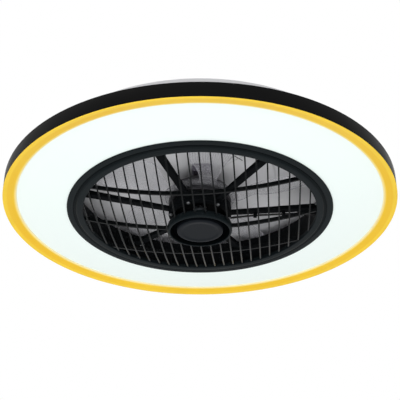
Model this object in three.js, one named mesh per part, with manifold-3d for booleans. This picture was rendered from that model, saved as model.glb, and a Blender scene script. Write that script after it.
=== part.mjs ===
// Flush ceiling fan with a ring light round an enclosed impeller.
// Millimetres, +Z up. The ceiling is the plane Z = 0 and the fan hangs below it.
// The origin is the centre of the ceiling bracket's top face.
import * as THREE from 'three';
import { mergeVertices } from 'three/addons/utils/BufferGeometryUtils.js';
import Module from 'manifold-3d';

const wasm = await Module();
wasm.setup();

// ---------------------------------------------------------------- driving sizes

const CLEARANCE = 0.3; // gap left between two pieces that touch
const OVERCUT = 1; // how far a cutting tool runs past the face it opens
const SHEET = 1.2; // pressed steel of the pan, the tray and the hoop's flange
const DEG = Math.PI / 180;

// Roundness of the turned pieces
const RING_SEGMENTS = 40;
const HUB_SEGMENTS = 24;
const BEARING_SEGMENTS = 12;
const SCREW_SIDES = 6;

// Ceiling bracket and its two screws
const BRACKET_LENGTH = 210;
const BRACKET_WIDTH = 36;
const BRACKET_THICKNESS = 2;
const BRACKET_SCREW_INSET = 25; // from the bracket's end
const BRACKET_SCREW_SETBACK = 0.4; // from the screw's end to the ceiling
const CEILING_SLOT_LENGTH = 22;
const CEILING_SLOT_WIDTH = 5.5;
const CEILING_SLOT_SPACING = 84;

// Base pan, which is the housing against the ceiling
const PAN_INSET = 48; // from the hoop's outside in to the pan's wall
const PAN_DEPTH = 47.2;
const PAN_CORNER = 2;
const PAN_FLANGE_WIDTH = 15;
const RECESS_MARGIN = 8;
const RECESS_SLOPE = 3;
const AIR_SLOT_COUNT = 12;
const AIR_SLOT_WIDTH = 10;
const AIR_SLOT_HEIGHT = 26;
const AIR_SLOT_DROP = 12;
const VENT_COUNT = 3;
const VENT_LENGTH = 10;
const VENT_WIDTH = 2;
const VENT_PITCH = 6.5;
const VENT_RADIUS = 80;
const VENT_ANGLE = -48;

// Electrical pieces
const TERMINAL_SIZE = [30, 20, 10];
const TERMINAL_PLACE = [3, -33];
const GROMMET_BORE = 5;
const GROMMET_NECK = 8;
const GROMMET_FLANGE = 11;
const GROMMET_LIP = 1.5;
const GROMMET_Y = 45;
const GROMMET_MARGIN = 1; // between the grommet's flange and the bracket's edge
const DRIVER_SIZE = [34, 96, 26];
const CONTROLLER_SIZE = [34, 70, 22];
const CASING_CORNER = 4;
const CASING_MARGIN = 8; // from the pan's wall to a casing's outer side

// Outer hoop, accent ring and shade
const OUTER_RADIUS = 290;
const HOOP_HEIGHT = 19.5;
const HOOP_WALL = 3;
const HOOP_FLANGE_WIDTH = 28;
const HOOP_UPSTAND = 2.7; // wall above the flange
const HOOP_CHAMFER = 1;
const TRAY_LIP = 5.3;
const TRAY_BORE_GAP = 1; // from the duct's top edge to the tray
const ACCENT_WIDTH = 19.6;
const ACCENT_EDGE = 1.2;
const ACCENT_RISE = 5;
const ACCENT_LIP = 1.4;
const ACCENT_SPIGOT_WALL = 2.7;
const ACCENT_SPIGOT_HEIGHT = 9.8;
const SHADE_THICKNESS = 2.5;
const SHADE_DROP = 6.6;
const SHADE_BULGE = 0.25;
const SHADE_STEPS = 3;

// Light boards
const BOARD_MARGIN = 14.2; // from the duct's flange out to a board
const BOARD_WIDTH = 35;
const BOARD_GAP = 12; // degrees between two boards, where a tray screw sits
const BOARD_THICKNESS = 1.6;
const BOARD_SEGMENTS = 8;
const CHIPS_PER_BOARD = 7;
const CHIP_SIZE = 7;
const CHIP_HEIGHT = 1.1;
const CHIP_BITE = 0.5; // how far a chip's body runs into its board

// Grille
const LIGHT_WIDTH = 102.8; // from the hoop's outside in to the grille
const GRILLE_RIM_WALL = 4.4;
const GRILLE_RIM_DROP = 2;
const GRILLE_CORNER = 1.4;
const BAR_PITCH = 15.06;
const BAR_OFFSET = -3.2;
const BAR_WIDTH = 2.2;
const BAR_DEPTH = 4;
const BAR_TURN = -4.5; // degrees, about Z
const BAR_STEPS = 6;
const DOME_EDGE_RISE = 3.8; // middle of a bar at the rim, above the rim's lowest face
const DOME_HEIGHT = 22.7;
const CROSS_RIB_PITCH = 6 * BAR_PITCH;
const CROSS_RIB_WIDTH = 3;
const CROSS_RIB_DEPTH = 6.5;
const CROSS_RIB_BITE = 0.6; // how far a rib runs into the rim
const CROSS_RIB_SETBACK = 0.7; // rib's lower edge above the bars' lower edge
const HUB_RADIUS = 47.6;
const HUB_WALL = 7.6;
const HUB_WEB = 6;
const HUB_WEB_THICKNESS = 2.7;
const HUB_HEIGHT = 11;
const HUB_DROP = 26.5;
const HUB_CORNER = 2;
const CAP_RADIUS = 33.5;
const CAP_RECESS = 1.5;
const CAP_FLANGE = 3;
const CAP_CORNER = 1;
const LUG_COUNT = 4;
const LUG_ANGLE = 40; // first lug, degrees about Z
const LUG_SPAN = 10;
const LUG_REACH = 6;
const LUG_THICKNESS = 1.5;
const TWIST_TO_OPEN = 14; // degrees from locked to the notches
const NOTCH_MARGIN = 1;

// Bezel ring and air duct
const PARTING_GROOVE = 0.6;
const BEZEL_WIDTH = 9.7;
const BEZEL_FLANGE = 1.3;
const BEZEL_SLEEVE_WALL = 1.6;
const BEZEL_LEDGE_WIDTH = 9.1;
const BEZEL_LEDGE = 1.2;
const BEZEL_LEDGE_RECESS = 0.9;
const BEZEL_LIP_REACH = 1.8;
const GRILLE_RUNNING_GAP = 0.8;
const DUCT_STEP = 2.5; // from the grille rim's bore out to the duct's bore
const DUCT_FLARE = 11;
const DUCT_WALL = 2;
const DUCT_FOOT_REACH = 2.3;
const DUCT_FOOT = 1.3;
const DUCT_FLANGE_WIDTH = 19;
const DUCT_FLANGE = 2;
const INTAKE_GAP = 16.5;

// Spider that carries the motor
const ARM_COUNT = 6;
const ARM_ANGLE = 7; // the arm that carries the lead, degrees from +X
const ARM_ROOT_WIDTH = 9.5;
const ARM_END_WIDTH = 12;
const ARM_ROOT_HEIGHT = 5.6;
const ARM_END_HEIGHT = 8;
const ARM_FALL = 18.7; // how far the root lies under the outer end
const ARM_END_DROP = 21.4; // from the duct's top edge to the arm's middle
const SPIDER_RING_RADIUS = 47;
const SPIDER_RING_WALL = 9;
const SPIDER_RING_HEIGHT = 12.4;
const SPIDER_RING_RISE = 0.5; // ring's top above the arm root's upper face
const PAD_WIDTH = 27;
const PAD_HEIGHT = 12;
const PAD_THICKNESS = 3;
const PAD_SCREW_OFFSET = -9.7;
const CLIP_RADII = [84, 128];
const CLIP_WALL = 1;
const CLIP_LENGTH = 5;

// Motor
const MOUNT_THICKNESS = 3.4;
const MOUNT_EDGE = 1.5;
const MOUNT_SHOULDER = 5;
const MOUNT_SCREW_INSET = 3.5;
const SHAFT_RADIUS = 5;
const SHAFT_BORE = 2.5;
const SHAFT_SEAT_RADIUS = 8;
const SHAFT_FLANGE_RADIUS = 15;
const SHAFT_FLANGE = 2.5;
const STUB_RADIUS = 7.7;
const STUB_BELOW_MOUNT = 6;
const NUT_ACROSS = 11;
const NUT_HEIGHT = 4.5;
const BEARING_RADIUS = 11;
const BEARING_WIDTH = 6;
const BEARING_RACE = 2.1;
const BEARING_SHIELD = 0.8;
const ROTOR_GAP = 0.9; // cover over the shaft's flange
const COVER_THICKNESS = 2;
const BOSS_WALL = 2.7;
const CAN_RADIUS = 44.5;
const CAN_WALL = 2;
const CAN_HEIGHT = 21.5;
const CAN_FLANGE_REACH = 2.5;
const CAN_FLANGE = 3.5;
const CAN_CHAMFER = 1.5;
const MAGNET_THICKNESS = 3.2;
const MAGNET_HEIGHT = 16;
const AIR_GAP = 0.6;
const CORE_HEIGHT = 8;
const CORE_TEETH = 9;
const CORE_YOKE = 7;
const TOOTH_WIDTH = 6;
const TOOTH_SHOE = 2;
const TOOTH_SHOE_SPAN = 30; // degrees
const WINDING_OVERHANG = 3.2;
const WINDING_INSET = 0.9;

// Blades
const BLADE_COUNT = 5;
const BLADE_ANGLE = -6; // one blade's root, degrees from +X
const BLADE_RING_WIDTH = 13.2;
const BLADE_RING_THICKNESS = 2.5;
const BLADE_THICKNESS = 2.2;
const BLADE_TIP_GAP = 8; // inside the duct's bore
const BLADE_ROOT_INSET = 3; // from the rotor's can to the blade's end
const BLADE_TAB_END = 56;
const BLADE_RISE_END = 88;
const BLADE_WIDE_FROM = 108;
const BLADE_WIDE_TO = 128;
const BLADE_NARROW_PAST = 6; // past the tip, where the narrowing would end
const BLADE_LIFT = 10.8;
const BLADE_PITCH = 13; // degrees
const BLADE_SWEEP = 9; // degrees that the tip leans back
const BLADE_ROOT_CHORD = 26;
const BLADE_MID_CHORD = 66;
const BLADE_TIP_CHORD = 44;
const BLADE_RADIAL_STEPS = 8; // the first is the flat tab
const BLADE_CHORD_STEPS = 3;
const CLAMP_WIDTH = 9;
const CLAMP_THICKNESS = 1.5;

// Motor lead
const LEAD_RADIUS = 1.6;
const LEAD_SIDES = 5;
const LEAD_STEPS = 40;
const LEAD_OFFSET = 1.5; // to the side of the arm's middle
const LEAD_ROOT_OFFSET = 5.2; // the same where it leaves the spider's ring, past a screw
const LEAD_GAP = 1.8; // under the arm at its root
const LEAD_SLOPE = 0.12;
const LEAD_LEVEL_START = 140;
const LEAD_RISER_MARGIN = 6.2; // from the duct's flange out to the lead's rise
const LEAD_BELOW_FLANGE = 1.7;

// Screws
const SCREW_HEAD = 3;
const SCREW_HEAD_HEIGHT = 2.1;
const SCREW_SHANK = 1.6;
const TRAY_SCREW_COUNT = 3;
const TRAY_SCREW_ANGLE = 45;
const TRAY_SCREW_LENGTH = 3.6;
const DUCT_SCREW_COUNT = 3;
const DUCT_SCREW_ANGLE = 75;
const DUCT_SCREW_LENGTH = 4.4;
const DUCT_SCREW_MARGIN = 1.2; // from a screw's head to the flange's edge
const PAD_SCREW_LENGTH = 6.5;

// ---------------------------------------------------------------- worked-out places

const panRadius = OUTER_RADIUS - PAN_INSET;
const grilleRadius = OUTER_RADIUS - LIGHT_WIDTH;
const recessRadius = BRACKET_LENGTH / 2 + RECESS_MARGIN;
const bracketScrewY = BRACKET_LENGTH / 2 - BRACKET_SCREW_INSET;
const grommetX = BRACKET_WIDTH / 2 + GROMMET_FLANGE + GROMMET_MARGIN;
const recessTop = -(BRACKET_THICKNESS + CLEARANCE);
const recessBottom = recessTop - SHEET;

const trayTop = -(PAN_DEPTH + CLEARANCE);
const trayBottom = trayTop - SHEET;
const hoopTop = trayTop + CLEARANCE + SHEET;
const hoopBottom = hoopTop - HOOP_HEIGHT;
const hoopBore = OUTER_RADIUS - HOOP_WALL;
const trayRadius = hoopBore - CLEARANCE;

const accentTop = hoopBottom - CLEARANCE;
const accentBottom = accentTop - ACCENT_EDGE;
const accentBore = OUTER_RADIUS - ACCENT_WIDTH;
const accentLipBottom = accentBottom + ACCENT_RISE;
const accentLipTop = accentLipBottom + ACCENT_LIP;
const spigotOuter = hoopBore - CLEARANCE;
const spigotInner = spigotOuter - ACCENT_SPIGOT_WALL;
const shadeRadius = spigotInner - CLEARANCE;
const shadeBrimBottom = accentLipTop + CLEARANCE;
const shadeHoleBottom = shadeBrimBottom - SHADE_DROP;

const bezelTop = shadeHoleBottom - CLEARANCE;
const bezelBottom = bezelTop - BEZEL_FLANGE;
const ledgeBottom = bezelBottom + BEZEL_LEDGE_RECESS;
const ledgeTop = ledgeBottom + BEZEL_LEDGE;
const lugBottom = ledgeTop + CLEARANCE;
const lugTop = lugBottom + LUG_THICKNESS;
const ductBottom = lugTop + CLEARANCE;
const ductFootTop = ductBottom + DUCT_FOOT;
const bezelLipBottom = ductFootTop + CLEARANCE;
const bezelLipTop = bezelLipBottom + BEZEL_LEDGE;
const ductTop = recessBottom - INTAKE_GAP;
const ductFlangeTop = trayBottom - CLEARANCE;
const ductFlangeBottom = ductFlangeTop - DUCT_FLANGE;

const bezelBore = grilleRadius + PARTING_GROOVE;
const bezelRadius = bezelBore + BEZEL_WIDTH;
const ledgeBore = bezelBore - BEZEL_LEDGE_WIDTH;
const ductFootRadius = bezelBore + DUCT_FOOT_REACH;
const sleeveInner = ductFootRadius + CLEARANCE;
const sleeveOuter = sleeveInner + BEZEL_SLEEVE_WALL;
const shadeBore = sleeveOuter + CLEARANCE;
const rimUpstandOuter = ledgeBore - GRILLE_RUNNING_GAP;
const rimBore = rimUpstandOuter - GRILLE_RIM_WALL;
const ductBore = rimBore + DUCT_STEP;
const ductTopRadius = ductBore + DUCT_FLARE + DUCT_WALL;
const trayBore = ductTopRadius + TRAY_BORE_GAP;
const ductFlangeRadius = ductAt(ductFlangeTop) + DUCT_WALL + DUCT_FLANGE_WIDTH;
const leadRiserRadius = ductFlangeRadius + LEAD_RISER_MARGIN;

const rimBottom = bezelBottom - GRILLE_RIM_DROP;
const rimTop = ledgeBottom - CLEARANCE;
const hubBottom = rimBottom - HUB_DROP;
const hubTop = hubBottom + HUB_HEIGHT;
const hubBore = HUB_RADIUS - HUB_WALL;
const barReach = (rimBore + rimUpstandOuter) / 2;

const armEndZ = ductTop - ARM_END_DROP;
const armRootZ = armEndZ - ARM_FALL;
const armEndRadius = ductAt(armEndZ) - CLEARANCE - PAD_THICKNESS / 2;
const spiderRingTop = armRootZ + ARM_ROOT_HEIGHT / 2 + SPIDER_RING_RISE;
const spiderRingBottom = spiderRingTop - SPIDER_RING_HEIGHT;
const spiderRingBore = SPIDER_RING_RADIUS - SPIDER_RING_WALL;

const mountBottom = spiderRingTop + CLEARANCE;
const mountTop = mountBottom + MOUNT_THICKNESS;
const shaftFlangeBottom = mountTop + CLEARANCE;
const shaftFlangeTop = shaftFlangeBottom + SHAFT_FLANGE;
const stubBottom = mountBottom - STUB_BELOW_MOUNT;
const nutTop = mountBottom - CLEARANCE;
const coverBottom = shaftFlangeTop + ROTOR_GAP;
const coverTop = coverBottom + COVER_THICKNESS;
const canBottom = coverTop + CLEARANCE;
const canTop = canBottom + CAN_HEIGHT;
const canRoof = canTop - CAN_WALL;
const canBore = CAN_RADIUS - CAN_WALL;
const canFlangeTop = canBottom + CAN_FLANGE;
const upperBearingTop = canRoof - CLEARANCE;
const upperBearingBottom = upperBearingTop - BEARING_WIDTH;
const lowerBearingBottom = coverBottom + CLEARANCE;
const lowerBearingTop = lowerBearingBottom + BEARING_WIDTH;
const seatBottom = lowerBearingTop + CLEARANCE;
const seatTop = upperBearingBottom - CLEARANCE;
const coreMiddle = (seatBottom + seatTop) / 2;
const magnetOuter = canBore - CLEARANCE;
const magnetBore = magnetOuter - MAGNET_THICKNESS;
const coreRadius = magnetBore - AIR_GAP;
const coreBore = SHAFT_SEAT_RADIUS + CLEARANCE;
const bladeTipRadius = ductBore - BLADE_TIP_GAP;
const bladeRingBottom = canFlangeTop + CLEARANCE;
const bladeRingTop = bladeRingBottom + BLADE_RING_THICKNESS;
const bladeRingBore = CAN_RADIUS + CLEARANCE;
const bladeRootZ = bladeRingTop + CLEARANCE + BLADE_THICKNESS / 2;
const bladeRootRadius = bladeRingBore + BLADE_ROOT_INSET;
const clampBottom = bladeRootZ + BLADE_THICKNESS / 2 + CLEARANCE;

const leadRootZ = armRootZ - ARM_ROOT_HEIGHT / 2 - LEAD_GAP - LEAD_RADIUS;
const leadLevelZ = ductFlangeBottom - LEAD_BELOW_FLANGE - LEAD_RADIUS;
const boardTop = trayBottom - CLEARANCE;
const boardInner = ductFlangeRadius + BOARD_MARGIN;
const chipRadius = boardInner + BOARD_WIDTH / 2;
const boardSpan = 360 / TRAY_SCREW_COUNT - BOARD_GAP;
const firstBoard = TRAY_SCREW_ANGLE + 180 / TRAY_SCREW_COUNT;
const panFlangeTop = -PAN_DEPTH + SHEET;
const casingTop = -(SHEET + CLEARANCE);
const screwHole = SCREW_SHANK + CLEARANCE;
const leadPassage = LEAD_RADIUS + 2 * CLEARANCE;
const traySeatRadius = panRadius - SHEET - PAN_FLANGE_WIDTH / 2;

/** Bore of the air duct at a height: it opens out towards its top. */
function ductAt(z) {
  return ductBore + (DUCT_FLARE * (z - ductBottom)) / (ductTop - ductBottom);
}

/** Middle height of a grille bar at a distance from the axis: a shallow dome. */
function domeAt(radius) {
  const edge = rimBottom + DOME_EDGE_RISE;
  const fall = (1 - (radius / barReach) ** 2) / (1 - (HUB_RADIUS / barReach) ** 2);
  return edge - DOME_HEIGHT * Math.min(fall, 1);
}

/** Middle height of the lead under its arm, level once it is near the duct's wall. */
function leadAt(radius) {
  const sloping = leadRootZ + LEAD_SLOPE * (radius - SPIDER_RING_RADIUS);
  return radius < LEAD_LEVEL_START ? Math.min(sloping, leadLevelZ) : leadLevelZ;
}

// ---------------------------------------------------------------- geometry helpers

/** Merge shared corners, drop empty triangles and turn the faces outwards. */
function closed(geometry) {
  const bare = geometry.clone();
  bare.deleteAttribute('normal');
  bare.deleteAttribute('uv');
  const merged = mergeVertices(bare, 1e-4);
  const corners = merged.index.array;
  const position = merged.attributes.position;
  const [a, b, c] = [new THREE.Vector3(), new THREE.Vector3(), new THREE.Vector3()];
  const kept = [];
  let volume = 0;
  for (let i = 0; i < corners.length; i += 3) {
    const [p, q, r] = [corners[i], corners[i + 1], corners[i + 2]];
    if (p === q || q === r || r === p) continue;
    kept.push(p, q, r);
    a.fromBufferAttribute(position, p);
    b.fromBufferAttribute(position, q);
    c.fromBufferAttribute(position, r);
    volume += a.dot(b.cross(c));
  }
  if (volume < 0) kept.reverse();
  merged.setIndex(kept);
  return merged;
}

function solidOf(geometry) {
  const shell = closed(geometry);
  return new wasm.Manifold(new wasm.Mesh({
    numProp: 3,
    vertProperties: new Float32Array(shell.attributes.position.array),
    triVerts: new Uint32Array(shell.index.array),
  }));
}

function geometryOf(solid) {
  const mesh = solid.getMesh();
  const geometry = new THREE.BufferGeometry();
  geometry.setAttribute('position', new THREE.BufferAttribute(mesh.vertProperties, 3));
  geometry.setIndex(new THREE.BufferAttribute(mesh.triVerts, 1));
  return geometry;
}

function join(base, ...others) {
  return geometryOf(others.reduce((sum, other) => sum.add(solidOf(other)), solidOf(base)));
}

function cut(base, ...tools) {
  return geometryOf(tools.reduce((rest, tool) => rest.subtract(solidOf(tool)), solidOf(base)));
}

function common(first, second) {
  return geometryOf(solidOf(first).intersect(solidOf(second)));
}

/** Turn a closed outline of [radius, height] points about the Z axis. */
function turned(outline, segments = RING_SEGMENTS) {
  const points = [...outline, outline[0]].map(([radius, z]) => new THREE.Vector2(radius, z));
  const geometry = new THREE.LatheGeometry(points, segments);
  geometry.rotateX(Math.PI / 2);
  return closed(geometry);
}

/** Plain ring or, with a bore of nothing, a disc. */
function collar(bore, radius, bottom, top, segments = RING_SEGMENTS) {
  return turned([[bore, bottom], [radius, bottom], [radius, top], [bore, top]], segments);
}

function block(x0, x1, y0, y1, z0, z1) {
  const geometry = new THREE.BoxGeometry(x1 - x0, y1 - y0, z1 - z0);
  geometry.translate((x0 + x1) / 2, (y0 + y1) / 2, (z0 + z1) / 2);
  return geometry;
}

/** Upright rod between two heights. */
function rod(radius, bottom, top, x = 0, y = 0, sides = SCREW_SIDES) {
  const geometry = new THREE.CylinderGeometry(radius, radius, top - bottom, sides);
  geometry.rotateX(Math.PI / 2);
  geometry.translate(x, y, (bottom + top) / 2);
  return geometry;
}

/** Flat plate that follows part of a circle. */
function arcPlate(bore, radius, bottom, top, middle, span, segments) {
  const start = (middle - span / 2) * DEG;
  const end = (middle + span / 2) * DEG;
  const shape = new THREE.Shape();
  shape.absarc(0, 0, radius, start, end, false);
  shape.absarc(0, 0, bore, end, start, true);
  const options = { depth: top - bottom, bevelEnabled: false, curveSegments: segments };
  return closed(new THREE.ExtrudeGeometry(shape, options).translate(0, 0, bottom));
}

/** Upright slot with round ends, long side along X before it is turned. */
function slotTool(length, width, bottom, top, x, y, angle = 0) {
  const reach = (length - width) / 2;
  const shape = new THREE.Shape();
  shape.absarc(reach, 0, width / 2, -Math.PI / 2, Math.PI / 2, false);
  shape.absarc(-reach, 0, width / 2, Math.PI / 2, (3 * Math.PI) / 2, false);
  const options = { depth: top - bottom, bevelEnabled: false, curveSegments: 4 };
  const geometry = new THREE.ExtrudeGeometry(shape, options);
  geometry.rotateZ(angle * DEG);
  geometry.translate(x, y, bottom);
  return geometry;
}

/** Bar that runs outwards along X, with its own width and height at each end. */
function beam(start, end) {
  const geometry = new THREE.BoxGeometry(1, 1, 1);
  const position = geometry.attributes.position;
  for (let i = 0; i < position.count; i += 1) {
    const along = position.getX(i) + 0.5;
    const width = THREE.MathUtils.lerp(start.width, end.width, along);
    const height = THREE.MathUtils.lerp(start.height, end.height, along);
    const z = THREE.MathUtils.lerp(start.z, end.z, along) + position.getZ(i) * height;
    const x = THREE.MathUtils.lerp(start.x, end.x, along);
    position.setXYZ(i, x, position.getY(i) * width, z);
  }
  return closed(geometry);
}

/** Bar along Y that follows the grille's dome. */
function domedBar(x, from, to, width, depth, lift, steps) {
  const geometry = new THREE.BoxGeometry(width, 1, depth, 1, steps, 1);
  const position = geometry.attributes.position;
  for (let i = 0; i < position.count; i += 1) {
    const y = THREE.MathUtils.lerp(from, to, position.getY(i) + 0.5);
    const z = domeAt(Math.hypot(x, y)) + lift + position.getZ(i);
    position.setXYZ(i, x + position.getX(i), y, z);
  }
  return closed(geometry);
}

function spun(geometry, degrees) {
  return geometry.clone().rotateZ(degrees * DEG);
}

function onCircle(radius, degrees) {
  return [radius * Math.cos(degrees * DEG), radius * Math.sin(degrees * DEG)];
}

/** Angles of a pattern spread evenly round the axis. */
function spread(count, first = 0) {
  return Array.from({ length: count }, (_, i) => first + (360 * i) / count);
}

/** Screw whose head's seat is at its origin and whose shank runs along +Z. */
function screw(length) {
  return turned([
    [0, -SCREW_HEAD_HEIGHT], [SCREW_HEAD, -SCREW_HEAD_HEIGHT], [SCREW_HEAD, 0],
    [SCREW_SHANK, 0], [SCREW_SHANK, length], [0, length],
  ], SCREW_SIDES);
}


// ---------------------------------------------------------------- ceiling side

function ceilingBracket() {
  const plate = block(
    -BRACKET_WIDTH / 2, BRACKET_WIDTH / 2, -BRACKET_LENGTH / 2, BRACKET_LENGTH / 2,
    -BRACKET_THICKNESS, 0,
  );
  const tools = [-1, 1].flatMap((side) => [
    rod(
      screwHole, -BRACKET_THICKNESS - OVERCUT, OVERCUT, 0, side * bracketScrewY,
    ),
    slotTool(
      CEILING_SLOT_LENGTH, CEILING_SLOT_WIDTH, -BRACKET_THICKNESS - OVERCUT, OVERCUT,
      0, (side * CEILING_SLOT_SPACING) / 2,
    ),
  ]);
  return cut(plate, ...tools);
}

function basePan() {
  const inside = panRadius - SHEET;
  const body = turned([
    [0, recessTop], [recessRadius, recessTop], [recessRadius + RECESS_SLOPE, 0],
    [panRadius - PAN_CORNER, 0], [panRadius, -PAN_CORNER], [panRadius, -PAN_DEPTH],
    [inside - PAN_FLANGE_WIDTH, -PAN_DEPTH], [inside - PAN_FLANGE_WIDTH, panFlangeTop],
    [inside, panFlangeTop], [inside, -PAN_CORNER - SHEET / 2],
    [panRadius - PAN_CORNER - SHEET / 2, -SHEET],
    [recessRadius + RECESS_SLOPE + SHEET / 2, -SHEET],
    [recessRadius + SHEET / 2, recessBottom], [0, recessBottom],
  ]);
  const sheet = [recessBottom - OVERCUT, recessTop + OVERCUT];
  const airSlots = spread(AIR_SLOT_COUNT, 360 / AIR_SLOT_COUNT / 2).map((angle) => spun(block(
    inside - OVERCUT, panRadius + OVERCUT, -AIR_SLOT_WIDTH / 2, AIR_SLOT_WIDTH / 2,
    -AIR_SLOT_DROP - AIR_SLOT_HEIGHT, -AIR_SLOT_DROP,
  ), angle));
  const [ventX, ventY] = onCircle(VENT_RADIUS, VENT_ANGLE);
  const vents = Array.from({ length: VENT_COUNT }, (_, i) => slotTool(
    VENT_LENGTH, VENT_WIDTH, ...sheet,
    ventX + (i - 1) * VENT_PITCH, ventY + (i - 1) * VENT_PITCH, -VENT_ANGLE,
  ));
  const screwHoles = [-1, 1].map((side) => rod(
    screwHole, ...sheet, 0, side * bracketScrewY,
  ));
  const seats = spread(TRAY_SCREW_COUNT, TRAY_SCREW_ANGLE).map((angle) => rod(
    screwHole, -PAN_DEPTH - OVERCUT, panFlangeTop + OVERCUT, ...onCircle(traySeatRadius, angle),
  ));
  const entry = rod(GROMMET_NECK + CLEARANCE, ...sheet, grommetX, GROMMET_Y, BEARING_SEGMENTS);
  return cut(body, ...airSlots, ...vents, ...screwHoles, ...seats, entry);
}

function cableGrommet() {
  const top = recessTop + CLEARANCE;
  const bottom = recessBottom - CLEARANCE;
  return turned([
    [GROMMET_BORE, bottom - GROMMET_LIP], [GROMMET_FLANGE, bottom - GROMMET_LIP],
    [GROMMET_FLANGE, bottom], [GROMMET_NECK, bottom], [GROMMET_NECK, top],
    [GROMMET_FLANGE, top], [GROMMET_FLANGE, top + GROMMET_LIP], [GROMMET_BORE, top + GROMMET_LIP],
  ], BEARING_SEGMENTS);
}

/** Casing with round upright corners that stands on a face or hangs from it. */
function casing([x, y, z], bottom) {
  const [halfX, halfY, corner] = [x / 2, y / 2, CASING_CORNER];
  const shape = new THREE.Shape();
  shape.absarc(halfX - corner, halfY - corner, corner, 0, Math.PI / 2, false);
  shape.absarc(corner - halfX, halfY - corner, corner, Math.PI / 2, Math.PI, false);
  shape.absarc(corner - halfX, corner - halfY, corner, Math.PI, 1.5 * Math.PI, false);
  shape.absarc(halfX - corner, corner - halfY, corner, 1.5 * Math.PI, 2 * Math.PI, false);
  const options = { depth: z, bevelEnabled: false, curveSegments: 2 };
  return closed(new THREE.ExtrudeGeometry(shape, options).translate(0, 0, bottom));
}

// ---------------------------------------------------------------- light ring

function ledTray() {
  const body = turned([
    [trayBore, trayTop], [trayRadius, trayTop], [trayRadius, trayBottom - TRAY_LIP],
    [trayRadius - SHEET, trayBottom - TRAY_LIP], [trayRadius - SHEET, trayBottom],
    [trayBore, trayBottom],
  ]);
  const through = [trayBottom - OVERCUT, trayTop + OVERCUT];
  const pan = spread(TRAY_SCREW_COUNT, TRAY_SCREW_ANGLE).map((angle) => rod(
    screwHole, ...through, ...onCircle(traySeatRadius, angle),
  ));
  const duct = spread(DUCT_SCREW_COUNT, DUCT_SCREW_ANGLE).map((angle) => rod(
    screwHole, ...through, ...onCircle(ductScrewRadius(), angle),
  ));
  const lead = rod(leadPassage, ...through, leadRiserRadius, LEAD_OFFSET);
  return cut(body, ...pan, ...duct, spun(lead, ARM_ANGLE));
}

function ductScrewRadius() {
  return ductFlangeRadius - SCREW_HEAD - DUCT_SCREW_MARGIN;
}

function rimHoop() {
  const bore = OUTER_RADIUS - HOOP_FLANGE_WIDTH;
  const flangeBottom = hoopTop - SHEET;
  return turned([
    [bore, flangeBottom], [hoopBore, flangeBottom], [hoopBore, hoopBottom],
    [OUTER_RADIUS, hoopBottom], [OUTER_RADIUS, hoopTop + HOOP_UPSTAND - HOOP_CHAMFER],
    [OUTER_RADIUS - HOOP_CHAMFER, hoopTop + HOOP_UPSTAND],
    [hoopBore, hoopTop + HOOP_UPSTAND], [hoopBore, hoopTop], [bore, hoopTop],
  ]);
}

function accentRing() {
  return turned([
    [spigotOuter, accentTop], [OUTER_RADIUS, accentTop],
    [OUTER_RADIUS, accentTop - ACCENT_EDGE / 2],
    [OUTER_RADIUS - ACCENT_EDGE / 2, accentBottom],
    [accentBore + ACCENT_LIP / 2, accentLipBottom],
    [accentBore, accentLipBottom + ACCENT_LIP / 2], [accentBore, accentLipTop],
    [spigotInner, accentLipTop], [spigotInner, accentLipTop + ACCENT_SPIGOT_HEIGHT - ACCENT_RISE],
    [spigotOuter, accentLipTop + ACCENT_SPIGOT_HEIGHT - ACCENT_RISE],
  ]);
}

/** Ring-shaped shade: a level brim outside, falling in a gentle bulge to its hole. */
function shade() {
  const skin = (offset) => Array.from({ length: SHADE_STEPS + 1 }, (_, i) => {
    const t = i / SHADE_STEPS;
    const fall = (1 + SHADE_BULGE) * t - SHADE_BULGE * t * t;
    const radius = THREE.MathUtils.lerp(accentBore, shadeBore, t);
    return [radius, shadeBrimBottom - SHADE_DROP * fall + offset];
  });
  return turned([
    [shadeRadius, shadeBrimBottom], ...skin(0), ...skin(SHADE_THICKNESS).reverse(),
    [shadeRadius, shadeBrimBottom + SHADE_THICKNESS],
  ]);
}

/** Curved circuit board with a row of light chips under it. */
function ledBoard(middle) {
  const bottom = boardTop - BOARD_THICKNESS;
  const radius = boardInner + BOARD_WIDTH;
  const board = arcPlate(boardInner, radius, bottom, boardTop, middle, boardSpan, BOARD_SEGMENTS);
  const pitch = boardSpan / CHIPS_PER_BOARD;
  const chips = Array.from({ length: CHIPS_PER_BOARD }, (_, i) => spun(block(
    chipRadius - CHIP_SIZE / 2, chipRadius + CHIP_SIZE / 2,
    -CHIP_SIZE / 2, CHIP_SIZE / 2, bottom - CHIP_HEIGHT, bottom + CHIP_BITE,
  ), middle - boardSpan / 2 + (i + 0.5) * pitch));
  return join(board, ...chips);
}

// ---------------------------------------------------------------- duct, bezel and grille

/** Place a tool that points along +Z so that it points out through the duct's wall. */
function throughWall(geometry, radius, side, z, angle) {
  const lean = Math.atan2(DUCT_FLARE, ductTop - ductBottom);
  return geometry.clone()
    .rotateY(Math.PI / 2 + lean)
    .translate(radius, side, z)
    .rotateZ(angle * DEG);
}

function padScrewRadius() {
  return Math.sqrt((ductAt(armEndZ) - CLEARANCE - PAD_THICKNESS) ** 2 - PAD_SCREW_OFFSET ** 2);
}

/** Tools for the screws that hold the arms' feet, out through foot and wall. */
function padHoles() {
  return spread(ARM_COUNT, ARM_ANGLE).map((angle) => throughWall(
    rod(screwHole, -2 * OVERCUT, PAD_SCREW_LENGTH + OVERCUT),
    padScrewRadius(), PAD_SCREW_OFFSET, armEndZ, angle,
  ));
}

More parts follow.
